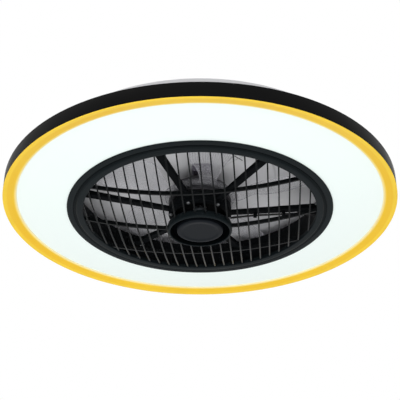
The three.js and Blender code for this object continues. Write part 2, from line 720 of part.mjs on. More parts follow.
function airDuct() {
  const outside = (z) => ductAt(z) + DUCT_WALL;
  const body = turned([
    [ductBore, ductBottom], [ductFootRadius, ductBottom], [ductFootRadius, ductFootTop],
    [outside(ductFootTop), ductFootTop], [outside(ductFlangeBottom), ductFlangeBottom],
    [ductFlangeRadius, ductFlangeBottom], [ductFlangeRadius, ductFlangeTop],
    [outside(ductFlangeTop), ductFlangeTop], [ductTopRadius, ductTop],
    [ductTopRadius - DUCT_WALL, ductTop],
  ]);
  const tray = spread(DUCT_SCREW_COUNT, DUCT_SCREW_ANGLE).map((angle) => rod(
    screwHole, ductFlangeBottom - OVERCUT, ductFlangeTop + OVERCUT,
    ...onCircle(ductScrewRadius(), angle),
  ));
  const lead = rod(leadPassage, ductBore - OVERCUT, ductTopRadius + OVERCUT)
    .rotateY(Math.PI / 2)
    .translate(0, LEAD_OFFSET, leadLevelZ);
  return cut(body, ...padHoles(), ...tray, spun(lead, ARM_ANGLE));
}

function bezelRing() {
  const lipBore = ductFootRadius - BEZEL_LIP_REACH;
  const body = turned([
    [bezelBore, bezelBottom], [bezelRadius - 0.5, bezelBottom], [bezelRadius, bezelBottom + 0.5],
    [bezelRadius, bezelTop], [sleeveOuter, bezelTop], [sleeveOuter, bezelLipTop],
    [lipBore, bezelLipTop], [lipBore, bezelLipBottom], [sleeveInner, bezelLipBottom],
    [sleeveInner, ledgeTop], [ledgeBore, ledgeTop], [ledgeBore, ledgeBottom],
    [bezelBore, ledgeBottom],
  ]);
  const notches = spread(LUG_COUNT, LUG_ANGLE + TWIST_TO_OPEN).map((angle) => arcPlate(
    ledgeBore - OVERCUT, rimUpstandOuter + LUG_REACH + NOTCH_MARGIN,
    ledgeBottom - OVERCUT, ledgeTop + OVERCUT,
    angle, LUG_SPAN + 2 * NOTCH_MARGIN, 3,
  ));
  return cut(body, ...notches);
}

/** Two pieces of a bar, stopped at the hub's ring, or one whole bar beyond it. */
function barPieces(offset, reach, width, depth, lift) {
  const end = Math.sqrt(reach ** 2 - offset ** 2);
  const stop = (hubBore + HUB_RADIUS) / 2;
  const stretch = (from, to, steps) => domedBar(offset, from, to, width, depth, lift, steps);
  if (Math.abs(offset) > stop) return [stretch(-end, end, BAR_STEPS)];
  const start = Math.sqrt(stop ** 2 - offset ** 2);
  return [stretch(start, end, BAR_STEPS / 2), stretch(-end, -start, BAR_STEPS / 2)];
}

function grilleBars() {
  const edge = rimBore - BAR_WIDTH;
  const first = Math.ceil((-edge - BAR_OFFSET) / BAR_PITCH);
  const last = Math.floor((edge - BAR_OFFSET) / BAR_PITCH);
  const offsets = Array.from(
    { length: last - first + 1 }, (_, i) => BAR_OFFSET + (first + i) * BAR_PITCH,
  );
  return offsets.flatMap((offset) => barPieces(offset, barReach, BAR_WIDTH, BAR_DEPTH, 0));
}

/** Deeper ribs that run across the bars and stand up behind them. */
function crossRibs() {
  const reach = rimBore + CROSS_RIB_BITE;
  const lift = (CROSS_RIB_DEPTH - BAR_DEPTH) / 2 + CROSS_RIB_SETBACK;
  return [-CROSS_RIB_PITCH, 0, CROSS_RIB_PITCH].flatMap((offset) => barPieces(
    offset, reach, CROSS_RIB_WIDTH, CROSS_RIB_DEPTH, lift,
  ).map((rib) => spun(rib, 90)));
}

function grilleRim() {
  return turned([
    [rimBore, rimBottom + GRILLE_CORNER / 2], [rimBore + GRILLE_CORNER / 2, rimBottom],
    [grilleRadius - 2 * GRILLE_CORNER, rimBottom], [grilleRadius, rimBottom + GRILLE_CORNER],
    [grilleRadius, rimTop], [rimUpstandOuter, rimTop], [rimUpstandOuter, lugTop],
    [rimBore, lugTop],
  ]);
}

function grilleHub() {
  const webBottom = hubTop - HUB_WEB_THICKNESS;
  return turned([
    [hubBore, hubBottom], [HUB_RADIUS - HUB_CORNER, hubBottom],
    [HUB_RADIUS, hubBottom + HUB_CORNER], [HUB_RADIUS, hubTop],
    [hubBore - HUB_WEB, hubTop], [hubBore - HUB_WEB, webBottom], [hubBore, webBottom],
  ], HUB_SEGMENTS);
}

function grille() {
  const lugs = spread(LUG_COUNT, LUG_ANGLE).map((angle) => arcPlate(
    rimBore + 1, rimUpstandOuter + LUG_REACH, lugBottom, lugTop - 0.01, angle, LUG_SPAN, 3,
  ));
  const web = [...grilleBars(), ...crossRibs()].map((bar) => spun(bar, BAR_TURN));
  return join(grilleRim(), grilleHub(), ...web, ...lugs);
}

function grilleCap() {
  const top = hubTop - HUB_WEB_THICKNESS - CLEARANCE;
  const step = top - CAP_FLANGE;
  const face = hubBottom + CAP_RECESS;
  return turned([
    [0, face], [CAP_RADIUS - CAP_CORNER, face], [CAP_RADIUS, face + CAP_CORNER],
    [CAP_RADIUS, step], [hubBore - CLEARANCE, step], [hubBore - CLEARANCE, top], [0, top],
  ], HUB_SEGMENTS);
}

// ---------------------------------------------------------------- spider and motor

/** Feet of the arms: six stretches of a band that lines the duct's wall. */
function spiderPads() {
  const [low, high] = [armEndZ - PAD_HEIGHT / 2, armEndZ + PAD_HEIGHT / 2];
  const outer = (z) => ductAt(z) - CLEARANCE;
  const band = turned([
    [outer(low) - PAD_THICKNESS, low], [outer(low), low],
    [outer(high), high], [outer(high) - PAD_THICKNESS, high],
  ]);
  return spread(ARM_COUNT, ARM_ANGLE).map((angle) => common(band, spun(block(
    ductBore / 2, ductTopRadius, -PAD_WIDTH / 2, PAD_WIDTH / 2, low - OVERCUT, high + OVERCUT,
  ), angle)));
}

/** Closed saddle under the arm that holds the lead. */
function leadClip(radius) {
  const inside = LEAD_RADIUS + CLEARANCE;
  const side = inside + CLIP_WALL;
  const z = leadAt(radius);
  const share = (radius - SPIDER_RING_RADIUS) / (armEndRadius - SPIDER_RING_RADIUS);
  const armZ = armRootZ + share * (armEndZ - armRootZ);
  const [x0, x1] = [radius - CLIP_LENGTH / 2, radius + CLIP_LENGTH / 2];
  const saddle = block(x0, x1, LEAD_OFFSET - side, LEAD_OFFSET + side, z - side, armZ);
  const slack = (LEAD_SLOPE * CLIP_LENGTH) / 2;
  return cut(saddle, block(
    x0 - OVERCUT, x1 + OVERCUT, LEAD_OFFSET - inside, LEAD_OFFSET + inside,
    z - inside - slack, z + inside + slack,
  ));
}

function mountScrewRadius() {
  return SPIDER_RING_RADIUS - MOUNT_SCREW_INSET;
}

function spider() {
  const ring = collar(
    spiderRingBore, SPIDER_RING_RADIUS, spiderRingBottom, spiderRingTop, HUB_SEGMENTS,
  );
  const arms = spread(ARM_COUNT, ARM_ANGLE).map((angle) => spun(beam(
    { x: SPIDER_RING_RADIUS - 2, z: armRootZ, width: ARM_ROOT_WIDTH, height: ARM_ROOT_HEIGHT },
    { x: armEndRadius, z: armEndZ, width: ARM_END_WIDTH, height: ARM_END_HEIGHT },
  ), angle));
  const clips = CLIP_RADII.map((radius) => spun(leadClip(radius), ARM_ANGLE));
  const body = join(ring, ...arms, ...spiderPads(), ...clips);
  const mountHoles = spread(ARM_COUNT, ARM_ANGLE).map((angle) => rod(
    screwHole, spiderRingBottom - OVERCUT, spiderRingTop + OVERCUT,
    ...onCircle(mountScrewRadius(), angle),
  ));
  const lead = rod(leadPassage, spiderRingBore - OVERCUT, SPIDER_RING_RADIUS + OVERCUT)
    .rotateY(Math.PI / 2)
    .translate(0, LEAD_ROOT_OFFSET, leadRootZ);
  return cut(body, ...mountHoles, ...padHoles(), spun(lead, ARM_ANGLE));
}

function motorMount() {
  const body = turned([
    [STUB_RADIUS + CLEARANCE, mountBottom], [SPIDER_RING_RADIUS, mountBottom],
    [SPIDER_RING_RADIUS, mountBottom + MOUNT_EDGE],
    [SPIDER_RING_RADIUS - MOUNT_SHOULDER, mountTop], [STUB_RADIUS + CLEARANCE, mountTop],
  ], HUB_SEGMENTS);
  const holes = spread(ARM_COUNT, ARM_ANGLE).map((angle) => rod(
    screwHole, mountBottom - OVERCUT, mountBottom + MOUNT_EDGE + CLEARANCE,
    ...onCircle(mountScrewRadius(), angle),
  ));
  return cut(body, ...holes);
}

/** Fixed hollow axle: threaded stub, flange, two journals and the seat of the core. */
function motorShaft() {
  return turned([
    [SHAFT_BORE, stubBottom], [STUB_RADIUS, stubBottom], [STUB_RADIUS, shaftFlangeBottom],
    [SHAFT_FLANGE_RADIUS, shaftFlangeBottom], [SHAFT_FLANGE_RADIUS, shaftFlangeTop],
    [SHAFT_RADIUS, shaftFlangeTop], [SHAFT_RADIUS, seatBottom], [SHAFT_SEAT_RADIUS, seatBottom],
    [SHAFT_SEAT_RADIUS, seatTop], [SHAFT_RADIUS, seatTop], [SHAFT_RADIUS, upperBearingTop],
    [SHAFT_BORE, upperBearingTop],
  ], BEARING_SEGMENTS);
}

function shaftNut() {
  const hexagon = rod(NUT_ACROSS, nutTop - NUT_HEIGHT, nutTop, 0, 0, 6);
  return cut(hexagon, rod(
    STUB_RADIUS + CLEARANCE, nutTop - NUT_HEIGHT - OVERCUT, nutTop + OVERCUT, 0, 0,
    BEARING_SEGMENTS,
  ));
}

function innerRace(bottom) {
  const bore = SHAFT_RADIUS + CLEARANCE;
  return collar(bore, bore + BEARING_RACE, bottom, bottom + BEARING_WIDTH, BEARING_SEGMENTS);
}

/** Outer race with a shield at each end that reaches in to the inner race. */
function outerRace(bottom) {
  const shieldBore = SHAFT_RADIUS + 2 * CLEARANCE + BEARING_RACE;
  const raceBore = BEARING_RADIUS - BEARING_RACE;
  const top = bottom + BEARING_WIDTH;
  return turned([
    [shieldBore, bottom], [BEARING_RADIUS, bottom], [BEARING_RADIUS, top], [shieldBore, top],
    [shieldBore, top - BEARING_SHIELD], [raceBore, top - BEARING_SHIELD],
    [raceBore, bottom + BEARING_SHIELD], [shieldBore, bottom + BEARING_SHIELD],
  ], BEARING_SEGMENTS);
}

/** Outline of the toothed core, or of the same core grown by a gap all round. */
function coreOutline(grow) {
  const yoke = coreBore + CORE_YOKE + grow;
  const halfTooth = TOOTH_WIDTH / 2 + grow;
  const shoeBore = coreRadius - TOOTH_SHOE - grow;
  const rim = coreRadius + grow;
  const shoe = (TOOTH_SHOE_SPAN / 2) * DEG + grow / coreRadius;
  const shape = new THREE.Shape();
  spread(CORE_TEETH).forEach((degrees) => {
    const middle = degrees * DEG;
    const foot = Math.asin(halfTooth / yoke);
    const neck = Math.asin(halfTooth / shoeBore);
    const corners = [
      [yoke, -foot], [shoeBore, -neck], [shoeBore, -shoe], [rim, -shoe], [rim, 0],
      [rim, shoe], [shoeBore, shoe], [shoeBore, neck], [yoke, foot],
    ];
    corners.forEach(([radius, turn], i) => {
      const [x, y] = onCircle(radius, (middle + turn) / DEG);
      if (degrees === 0 && i === 0) shape.moveTo(x, y);
      else shape.lineTo(x, y);
    });
  });
  return shape;
}

function statorCore() {
  const shape = coreOutline(0);
  shape.holes.push(new THREE.Path().absarc(0, 0, coreBore, 0, 2 * Math.PI, true));
  const options = { depth: CORE_HEIGHT, bevelEnabled: false, curveSegments: 6 };
  const bottom = coreMiddle - CORE_HEIGHT / 2;
  return closed(new THREE.ExtrudeGeometry(shape, options).translate(0, 0, bottom));
}

/** Winding as one plain mass that fills the slots and stands over both ends of the core. */
function statorWindings() {
  const half = CORE_HEIGHT / 2;
  const bore = coreBore + CORE_YOKE + WINDING_INSET;
  const radius = coreRadius - TOOTH_SHOE - WINDING_INSET;
  const mass = collar(
    bore, radius, coreMiddle - half - WINDING_OVERHANG, coreMiddle + half + WINDING_OVERHANG,
    HUB_SEGMENTS,
  );
  const options = { depth: CORE_HEIGHT + 2 * CLEARANCE, bevelEnabled: false };
  const core = new THREE.ExtrudeGeometry(coreOutline(CLEARANCE), options);
  return cut(mass, core.translate(0, 0, coreMiddle - half - CLEARANCE));
}

function rotorCover() {
  const bossBore = BEARING_RADIUS + CLEARANCE;
  const radius = CAN_RADIUS + CAN_FLANGE_REACH;
  return turned([
    [bossBore, coverBottom], [radius, coverBottom], [radius, coverTop],
    [bossBore + BOSS_WALL, coverTop], [bossBore + BOSS_WALL, lowerBearingTop],
    [bossBore, lowerBearingTop],
  ], HUB_SEGMENTS);
}

function rotorCan() {
  const bossBore = BEARING_RADIUS + CLEARANCE;
  const flange = CAN_RADIUS + CAN_FLANGE_REACH;
  return turned([
    [0, canTop], [CAN_RADIUS - CAN_CHAMFER, canTop], [CAN_RADIUS, canTop - CAN_CHAMFER],
    [CAN_RADIUS, canFlangeTop], [flange, canFlangeTop], [flange, canBottom],
    [canBore, canBottom], [canBore, canRoof], [bossBore + BOSS_WALL, canRoof],
    [bossBore + BOSS_WALL, upperBearingBottom], [bossBore, upperBearingBottom],
    [bossBore, canRoof], [0, canRoof],
  ], HUB_SEGMENTS);
}

function magnetRing() {
  const middle = (canRoof + canBottom) / 2;
  return collar(
    magnetBore, magnetOuter, middle - MAGNET_HEIGHT / 2, middle + MAGNET_HEIGHT / 2, HUB_SEGMENTS,
  );
}

// ---------------------------------------------------------------- blades

/** Share of the way, eased at both ends, from one value to the next. */
function eased(value, from, to) {
  return THREE.MathUtils.smoothstep(value, from, to);
}

/** Chord of a blade at a radius: narrow tab, wide middle, narrower rounded tip. */
function chordAt(radius) {
  const opening = eased(radius, BLADE_TAB_END, BLADE_WIDE_FROM);
  const closing = eased(radius, BLADE_WIDE_TO, bladeTipRadius + BLADE_NARROW_PAST);
  const wide = THREE.MathUtils.lerp(BLADE_ROOT_CHORD, BLADE_MID_CHORD, opening);
  return THREE.MathUtils.lerp(wide, BLADE_TIP_CHORD, closing);
}

/** Point of a blade's middle surface, from its root to its tip and across its chord. */
function bladePoint(along, across, offset) {
  const tab = 1 / BLADE_RADIAL_STEPS;
  const radius = along < tab
    ? THREE.MathUtils.lerp(bladeRootRadius, BLADE_TAB_END, along / tab)
    : THREE.MathUtils.mapLinear(along, tab, 1, BLADE_TAB_END, bladeTipRadius);
  const working = eased(radius, BLADE_TAB_END, BLADE_RISE_END);
  const side = (across * chordAt(radius)) / 2;
  const lean = -BLADE_SWEEP * DEG * along * along;
  const angle = lean + side / radius;
  const z = bladeRootZ + BLADE_LIFT * working + side * Math.tan(BLADE_PITCH * DEG) * working;
  return [radius * Math.cos(angle), radius * Math.sin(angle), z + offset];
}

/** Thin blade: a box whose long and wide faces are bent onto the blade's surface. */
function blade() {
  const geometry = new THREE.BoxGeometry(1, 1, 1, BLADE_RADIAL_STEPS, BLADE_CHORD_STEPS, 1);
  const position = geometry.attributes.position;
  for (let i = 0; i < position.count; i += 1) {
    const along = position.getX(i) + 0.5;
    const across = 2 * position.getY(i);
    const offset = position.getZ(i) * BLADE_THICKNESS;
    position.setXYZ(i, ...bladePoint(along, across, offset));
  }
  return closed(geometry);
}

// ---------------------------------------------------------------- motor lead

/** Route from the hollow shaft, under its arm, out of the duct and up to the controller. */
function leadRoute() {
  const wall = ductAt(leadLevelZ);
  const side = LEAD_OFFSET;
  const rootSide = LEAD_ROOT_OFFSET;
  const level = leadLevelZ;
  const points = [
    [0, 0, stubBottom + 2], [0, 0, stubBottom - 0.5], [2.5, rootSide / 5, leadRootZ + 0.8],
    [10, rootSide / 2, leadRootZ], [spiderRingBore - 6, rootSide, leadRootZ],
    [spiderRingBore, rootSide, leadRootZ], [SPIDER_RING_RADIUS, rootSide, leadRootZ],
    ...CLIP_RADII.map((radius) => [radius, side, leadAt(radius)]),
    [LEAD_LEVEL_START + 12, side, level], [wall, side, level],
    [leadRiserRadius - 12, side, level], [leadRiserRadius - 2, side, level + 1.6],
    [leadRiserRadius, side, trayBottom], [leadRiserRadius, side, trayTop + 6],
    [leadRiserRadius, side, casingTop - CONTROLLER_SIZE[2] - CLEARANCE],
  ];
  return new THREE.CatmullRomCurve3(points.map((point) => new THREE.Vector3(...point)));
}

function motorLead() {
  const section = new THREE.Shape();
  spread(LEAD_SIDES).forEach((degrees, i) => {
    const [x, y] = onCircle(LEAD_RADIUS, degrees);
    if (i === 0) section.moveTo(x, y);
    else section.lineTo(x, y);
  });
  const options = { steps: LEAD_STEPS, bevelEnabled: false, extrudePath: leadRoute() };
  return closed(new THREE.ExtrudeGeometry(section, options));
}

// ---------------------------------------------------------------- finishes

const FINISHES = {
  whiteSteel: { color: 0xdedfe2, roughness: 0.5, metalness: 0.1 },
  zincSteel: { color: 0xaeb2b6, roughness: 0.4, metalness: 0.9 },
  blackPaint: { color: 0x151515, roughness: 0.35, metalness: 0.1 },
  yellowGloss: { color: 0xf3c54b, roughness: 0.3, metalness: 0 },
  opalShade: { color: 0xf5fffc, roughness: 0.45, metalness: 0 },
  blackPlastic: { color: 0x282c2e, roughness: 0.45, metalness: 0 },
  clearPlastic: { color: 0xe6eaee, roughness: 0.15, metalness: 0, opacity: 0.45 },
  whitePlastic: { color: 0xf0f0ee, roughness: 0.5, metalness: 0 },
  boardWhite: { color: 0xf4f4f0, roughness: 0.6, metalness: 0 },
  copper: { color: 0xb8713a, roughness: 0.4, metalness: 0.8 },
  ferrite: { color: 0x2e2c2c, roughness: 0.7, metalness: 0.2 },
  blackRubber: { color: 0x1a1a1a, roughness: 0.8, metalness: 0 },
};

const assembly = new THREE.Group();

/** Add a named piece to a group, in its own material. */
function add(name, geometry, finish, parent = assembly) {
  const { opacity = 1, ...surface } = FINISHES[finish];
  const material = new THREE.MeshStandardMaterial({
    ...surface, opacity, transparent: opacity < 1,
  });
  const mesh = new THREE.Mesh(geometry, material);
  mesh.name = name;
  parent.add(mesh);
  return mesh;
}

/** Add screws that all point up, spread on a circle. */
function addScrews(stem, count, first, radius, seat, length) {
  spread(count, first).forEach((angle, i) => {
    const mesh = add(`${stem}_${i + 1}`, screw(length), 'zincSteel');
    mesh.position.set(...onCircle(radius, angle), seat);
  });
}

// ---------------------------------------------------------------- assembly

add('ceiling_bracket', ceilingBracket(), 'zincSteel');
add('base_pan', basePan(), 'whiteSteel');
[-1, 1].forEach((side, i) => {
  const length = -recessBottom + CLEARANCE - BRACKET_SCREW_SETBACK;
  const mesh = add(`bracket_screw_${i + 1}`, screw(length), 'zincSteel');
  mesh.position.set(0, side * bracketScrewY, recessBottom - CLEARANCE);
});
add('cable_grommet', cableGrommet(), 'blackRubber').position.set(grommetX, GROMMET_Y, 0);
const terminal = add(
  'terminal_block', casing(TERMINAL_SIZE, recessBottom - CLEARANCE - TERMINAL_SIZE[2]),
  'whitePlastic',
);
terminal.position.set(...TERMINAL_PLACE, 0);

const electrics = new THREE.Group();
electrics.rotation.z = ARM_ANGLE * DEG;
assembly.add(electrics);
const controller = add(
  'motor_controller', casing(CONTROLLER_SIZE, casingTop - CONTROLLER_SIZE[2]), 'whitePlastic',
  electrics,
);
controller.position.x = panRadius - CASING_MARGIN - CONTROLLER_SIZE[0] / 2;
const driver = add(
  'led_driver', casing(DRIVER_SIZE, casingTop - DRIVER_SIZE[2]), 'whitePlastic', electrics,
);
driver.position.x = -(panRadius - CASING_MARGIN - DRIVER_SIZE[0] / 2);

add('led_tray', ledTray(), 'whiteSteel');
addScrews(
  'tray_screw', TRAY_SCREW_COUNT, TRAY_SCREW_ANGLE, traySeatRadius, trayBottom - CLEARANCE,
  TRAY_SCREW_LENGTH,
);
spread(TRAY_SCREW_COUNT, firstBoard).forEach((angle, i) => {
  add(`led_board_${i + 1}`, ledBoard(angle), 'boardWhite');
});
add('rim_hoop', rimHoop(), 'blackPaint');
add('accent_ring', accentRing(), 'yellowGloss');
add('shade', shade(), 'opalShade');

add('air_duct', airDuct(), 'blackPlastic');
addScrews(
  'duct_screw', DUCT_SCREW_COUNT, DUCT_SCREW_ANGLE, ductScrewRadius(),
  ductFlangeBottom - CLEARANCE, DUCT_SCREW_LENGTH,
);
add('bezel_ring', bezelRing(), 'blackPlastic');

add('spider', spider(), 'blackPlastic');
spread(ARM_COUNT, ARM_ANGLE).forEach((angle, i) => {
  const placed = throughWall(
    screw(PAD_SCREW_LENGTH).translate(0, 0, -CLEARANCE - SCREW_HEAD_HEIGHT / 2),
    padScrewRadius(), PAD_SCREW_OFFSET, armEndZ, angle,
  );
  add(`spider_screw_${i + 1}`, placed, 'zincSteel');
});
add('motor_mount', motorMount(), 'blackPlastic');
addScrews(
  'mount_screw', ARM_COUNT, ARM_ANGLE, mountScrewRadius(), spiderRingBottom - CLEARANCE,
  SPIDER_RING_HEIGHT + 2 * CLEARANCE + MOUNT_EDGE,
);
add('motor_shaft', motorShaft(), 'zincSteel');
add('shaft_nut', shaftNut(), 'zincSteel');
add('stator_core', statorCore(), 'zincSteel');
add('stator_windings', statorWindings(), 'copper');
add('lower_bearing_inner', innerRace(lowerBearingBottom), 'zincSteel');
add('upper_bearing_inner', innerRace(upperBearingBottom), 'zincSteel');
add('motor_lead', spun(motorLead(), ARM_ANGLE), 'blackRubber');

const rotor = new THREE.Group();
assembly.add(rotor);
add('rotor_can', rotorCan(), 'zincSteel', rotor);
add('rotor_cover', rotorCover(), 'zincSteel', rotor);
add('magnet_ring', magnetRing(), 'ferrite', rotor);
add('lower_bearing_outer', outerRace(lowerBearingBottom), 'zincSteel', rotor);
add('upper_bearing_outer', outerRace(upperBearingBottom), 'zincSteel', rotor);
add('blade_ring', collar(
  bladeRingBore, bladeRingBore + BLADE_RING_WIDTH, bladeRingBottom, bladeRingTop,
), 'clearPlastic', rotor);
spread(BLADE_COUNT, BLADE_ANGLE).forEach((angle, i) => {
  add(`blade_${i + 1}`, blade(), 'clearPlastic', rotor).rotation.z = angle * DEG;
});
add('blade_clamp', collar(
  bladeRingBore, bladeRingBore + CLAMP_WIDTH, clampBottom, clampBottom + CLAMP_THICKNESS,
  HUB_SEGMENTS,
), 'clearPlastic', rotor);

const cover = new THREE.Group();
assembly.add(cover);
add('grille', grille(), 'blackPlastic', cover);
add('grille_cap', grilleCap(), 'blackPlastic', cover);

export default assembly;
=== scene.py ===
"""Visual model of a flush ceiling fan with a ring light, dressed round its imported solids.

Sizes are in millimetres and become metres when a mesh is written. +Z is up, the ceiling is
the plane Z = 0, and the fan hangs below it.
"""

import logging
import math
from dataclasses import dataclass
from enum import Enum
from typing import Iterable, Sequence, Union

import bmesh
import bpy
from mathutils import Euler, Matrix, Vector


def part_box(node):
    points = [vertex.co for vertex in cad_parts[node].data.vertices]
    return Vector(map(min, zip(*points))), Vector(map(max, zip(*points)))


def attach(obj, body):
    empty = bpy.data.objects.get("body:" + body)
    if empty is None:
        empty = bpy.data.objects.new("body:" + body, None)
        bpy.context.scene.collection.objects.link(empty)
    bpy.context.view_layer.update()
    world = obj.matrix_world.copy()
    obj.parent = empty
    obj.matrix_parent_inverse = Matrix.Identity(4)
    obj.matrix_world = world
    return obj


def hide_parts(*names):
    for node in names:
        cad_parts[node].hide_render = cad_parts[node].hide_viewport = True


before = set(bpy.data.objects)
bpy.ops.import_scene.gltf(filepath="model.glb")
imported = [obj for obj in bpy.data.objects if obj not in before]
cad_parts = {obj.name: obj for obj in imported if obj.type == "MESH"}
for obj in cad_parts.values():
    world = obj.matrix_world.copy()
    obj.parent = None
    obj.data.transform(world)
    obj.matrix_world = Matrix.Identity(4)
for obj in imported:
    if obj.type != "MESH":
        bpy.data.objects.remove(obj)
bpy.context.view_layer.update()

LOG = logging.getLogger("ceiling_fan")
MM = 0.001
TURN = 2 * math.pi
RING_STEPS = 160  # sides of a large turned piece
HUB_STEPS = 72  # sides of a small turned piece
GAP = 0.3  # clearance between two pieces that touch

Point = tuple[float, float]
Triple = tuple[float, float, float]  # a size or a place along X, Y and Z
Corner = tuple[float, float, float]  # of a turned outline: radius, height and rounding
Colour = tuple[float, float, float]
Setting = Union[float, int, str, tuple, bool, bpy.types.NodeSocket, bpy.types.ID, "Field"]


class Body(Enum):
    """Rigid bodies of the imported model."""

    HOUSING = "housing"
    ROTOR = "rotor"
    COVER = "grille_cover"


class Shading(Enum):
    """How the faces of a mesh meet."""

    SMOOTH = 40.0  # degrees over which an edge stays sharp
    CRISP = 20.0


# ---------------------------------------------------------------- node graphs


class Graph:
    """A node tree built by short calls."""

    def __init__(self, tree: bpy.types.NodeTree) -> None:
        """Take over a node tree."""
        self.tree = tree

    def add(self, kind: str, inputs: dict[str | int, Setting] | None = None, **settings: Setting
            ) -> bpy.types.Node:
        """Add a node.

        Args:
            kind: the node's type name.
            inputs: values or sockets for its inputs, by name or by place.
            **settings: the node's own properties.

        Returns:
            The new node.
        """
        node = self.tree.nodes.new(kind)
        for key, value in settings.items():
            setattr(node, key, value)
        for key, value in (inputs or {}).items():
            socket = node.inputs[key]
            if isinstance(value, bpy.types.NodeSocket):
                self.tree.links.new(value, socket)
            elif isinstance(value, Field):
                self.tree.links.new(value.socket, socket)
            else:
                socket.default_value = value
        return node

    def maths(self, operation: str, *values: Setting) -> "Field":
        """Return the result of a Math node as a field."""
        node = self.add("ShaderNodeMath", dict(enumerate(values)), operation=operation)
        return Field(self, node.outputs[0])


class Field:
    """A number that differs from point to point, with the usual arithmetic."""

    def __init__(self, graph: Graph, socket: bpy.types.NodeSocket) -> None:
        """Wrap a socket of a graph."""
        self.graph = graph
        self.socket = socket

    def __add__(self, other: Setting) -> "Field":
        """Return the sum."""
        return self.graph.maths("ADD", self, other)

    def __sub__(self, other: Setting) -> "Field":
        """Return the difference."""
        return self.graph.maths("SUBTRACT", self, other)

    def __mul__(self, other: Setting) -> "Field":
        """Return the product."""
        return self.graph.maths("MULTIPLY", self, other)

    def __truediv__(self, other: Setting) -> "Field":
        """Return the quotient."""
        return self.graph.maths("DIVIDE", self, other)

    def root(self) -> "Field":
        """Return the square root, or nothing below zero."""
        return self.graph.maths("SQRT", self.graph.maths("MAXIMUM", self, 0.0))


class ShapeTree(Graph):
    """A Geometry Nodes tree with named sizes, whose result is kept as a plain mesh."""

    def __init__(self, name: str, sizes: dict[str, float | int] | None = None) -> None:
        """Start a tree.

        Args:
            name: the tree's name.
            sizes: named inputs with their values; whole numbers become counts.
        """
        group = bpy.data.node_groups.new(name, "GeometryNodeTree")
        super().__init__(group)
        face = group.interface
        face.new_socket("Geometry", in_out="OUTPUT", socket_type="NodeSocketGeometry")
        face.new_socket("Geometry", in_out="INPUT", socket_type="NodeSocketGeometry")
        self.identifiers: dict[str, str] = {}
        self.sizes = dict(sizes or {})
        for key, value in self.sizes.items():
            kind = "NodeSocketInt" if isinstance(value, int) else "NodeSocketFloat"
            socket = face.new_socket(key, in_out="INPUT", socket_type=kind)
            socket.default_value = value
            self.identifiers[key] = socket.identifier
        self.entry = self.add("NodeGroupInput")

    def size(self, key: str) -> Field:
        """Return a named size as a field."""
        return Field(self, self.entry.outputs[key])

    def given(self) -> bpy.types.NodeSocket:
        """Return the geometry that the tree is given."""
        return self.entry.outputs["Geometry"]

    def finish(self, geometry: bpy.types.NodeSocket, material: bpy.types.Material) -> None:
        """Realise, dress and output the geometry."""
        real = self.add("GeometryNodeRealizeInstances", {"Geometry": geometry})
        dressed = self.add("GeometryNodeSetMaterial", {
            "Geometry": real.outputs[0], "Material": material,
        })
        self.add("NodeGroupOutput", {"Geometry": dressed.outputs[0]})

    def grow(self, name: str, base: bpy.types.Mesh | None = None) -> bpy.types.Mesh:
        """Run the tree on a mesh.

        Args:
            name: the name of the result.
            base: the mesh that the tree is given, if it needs one.

        Returns:
            The tree's result as a plain mesh.
        """
        carrier = bpy.data.objects.new(name, base or bpy.data.meshes.new(name))
        bpy.context.scene.collection.objects.link(carrier)
        modifier = carrier.modifiers.new("shape", "NODES")
        modifier.node_group = self.tree
        for key, value in self.sizes.items():
            modifier[self.identifiers[key]] = value
        depsgraph = bpy.context.evaluated_depsgraph_get()
        mesh = bpy.data.meshes.new_from_object(carrier.evaluated_get(depsgraph))
        carrier.modifiers.remove(modifier)
        carrier.data.name = f"{name}_base"
        bpy.data.objects.remove(carrier)
        mesh.name = name
        return mesh


# ---------------------------------------------------------------- finishes


class Surface(Graph):
    """The node tree of one material."""

    def __init__(self, name: str) -> None:
        """Start an empty material with a principled shader."""
        self.material = bpy.data.materials.new(name)
        self.material.use_nodes = True
        super().__init__(self.material.node_tree)
        self.tree.nodes.clear()
        self.shader = self.add("ShaderNodeBsdfPrincipled")
        self.add("ShaderNodeOutputMaterial", {"Surface": self.shader.outputs[0]})
        self.place = self.add("ShaderNodeTexCoord").outputs["Object"]

    def stretched(self, scale: Triple) -> bpy.types.NodeSocket:
        """Return the object's own coordinates, scaled."""
        return self.add("ShaderNodeMapping", {"Vector": self.place, "Scale": scale}).outputs[0]

    def noise(self, scale: float, detail: float = 2.0,
              where: bpy.types.NodeSocket | None = None) -> bpy.types.NodeSocket:
        """Return a noise pattern with values round one half."""
        return self.add("ShaderNodeTexNoise", {
            "Vector": where or self.place, "Scale": scale, "Detail": detail,
        }).outputs[0]

    def span(self, value: Setting, low: float, high: float, start: float = 0.3,
             end: float = 0.7) -> bpy.types.NodeSocket:
        """Return a value moved from one range to another and held inside it."""
        return self.add("ShaderNodeMapRange", {
            0: value, 1: start, 2: end, 3: low, 4: high,
        }).outputs[0]

    def mixed(self, share: Setting, first: Setting, second: Setting) -> bpy.types.NodeSocket:
        """Return a mix of two colours."""
        node = self.add("ShaderNodeMix", {0: share, 6: first, 7: second}, data_type="RGBA")
        return node.outputs[2]

    def radius(self) -> Field:
        """Return the distance from the fan's axis, in millimetres."""
        x, y, _ = self.add("ShaderNodeSeparateXYZ", {0: self.place}).outputs
        return (Field(self, x) * x + Field(self, y) * y).root() / MM

    def bump(self, height: bpy.types.NodeSocket, depth: float) -> None:
        """Raise the surface by a pattern, to a depth in millimetres."""
        node = self.add("ShaderNodeBump", {
            "Height": height, "Distance": depth * MM, "Strength": 1.0,
        })
        self.tree.links.new(node.outputs[0], self.shader.inputs["Normal"])

    def feed(self, name: str, source: Setting) -> None:
        """Link or set one of the shader's own inputs."""
        socket = self.shader.inputs[name]
        if isinstance(source, bpy.types.NodeSocket):
            self.tree.links.new(source, socket)
        else:
            socket.default_value = source


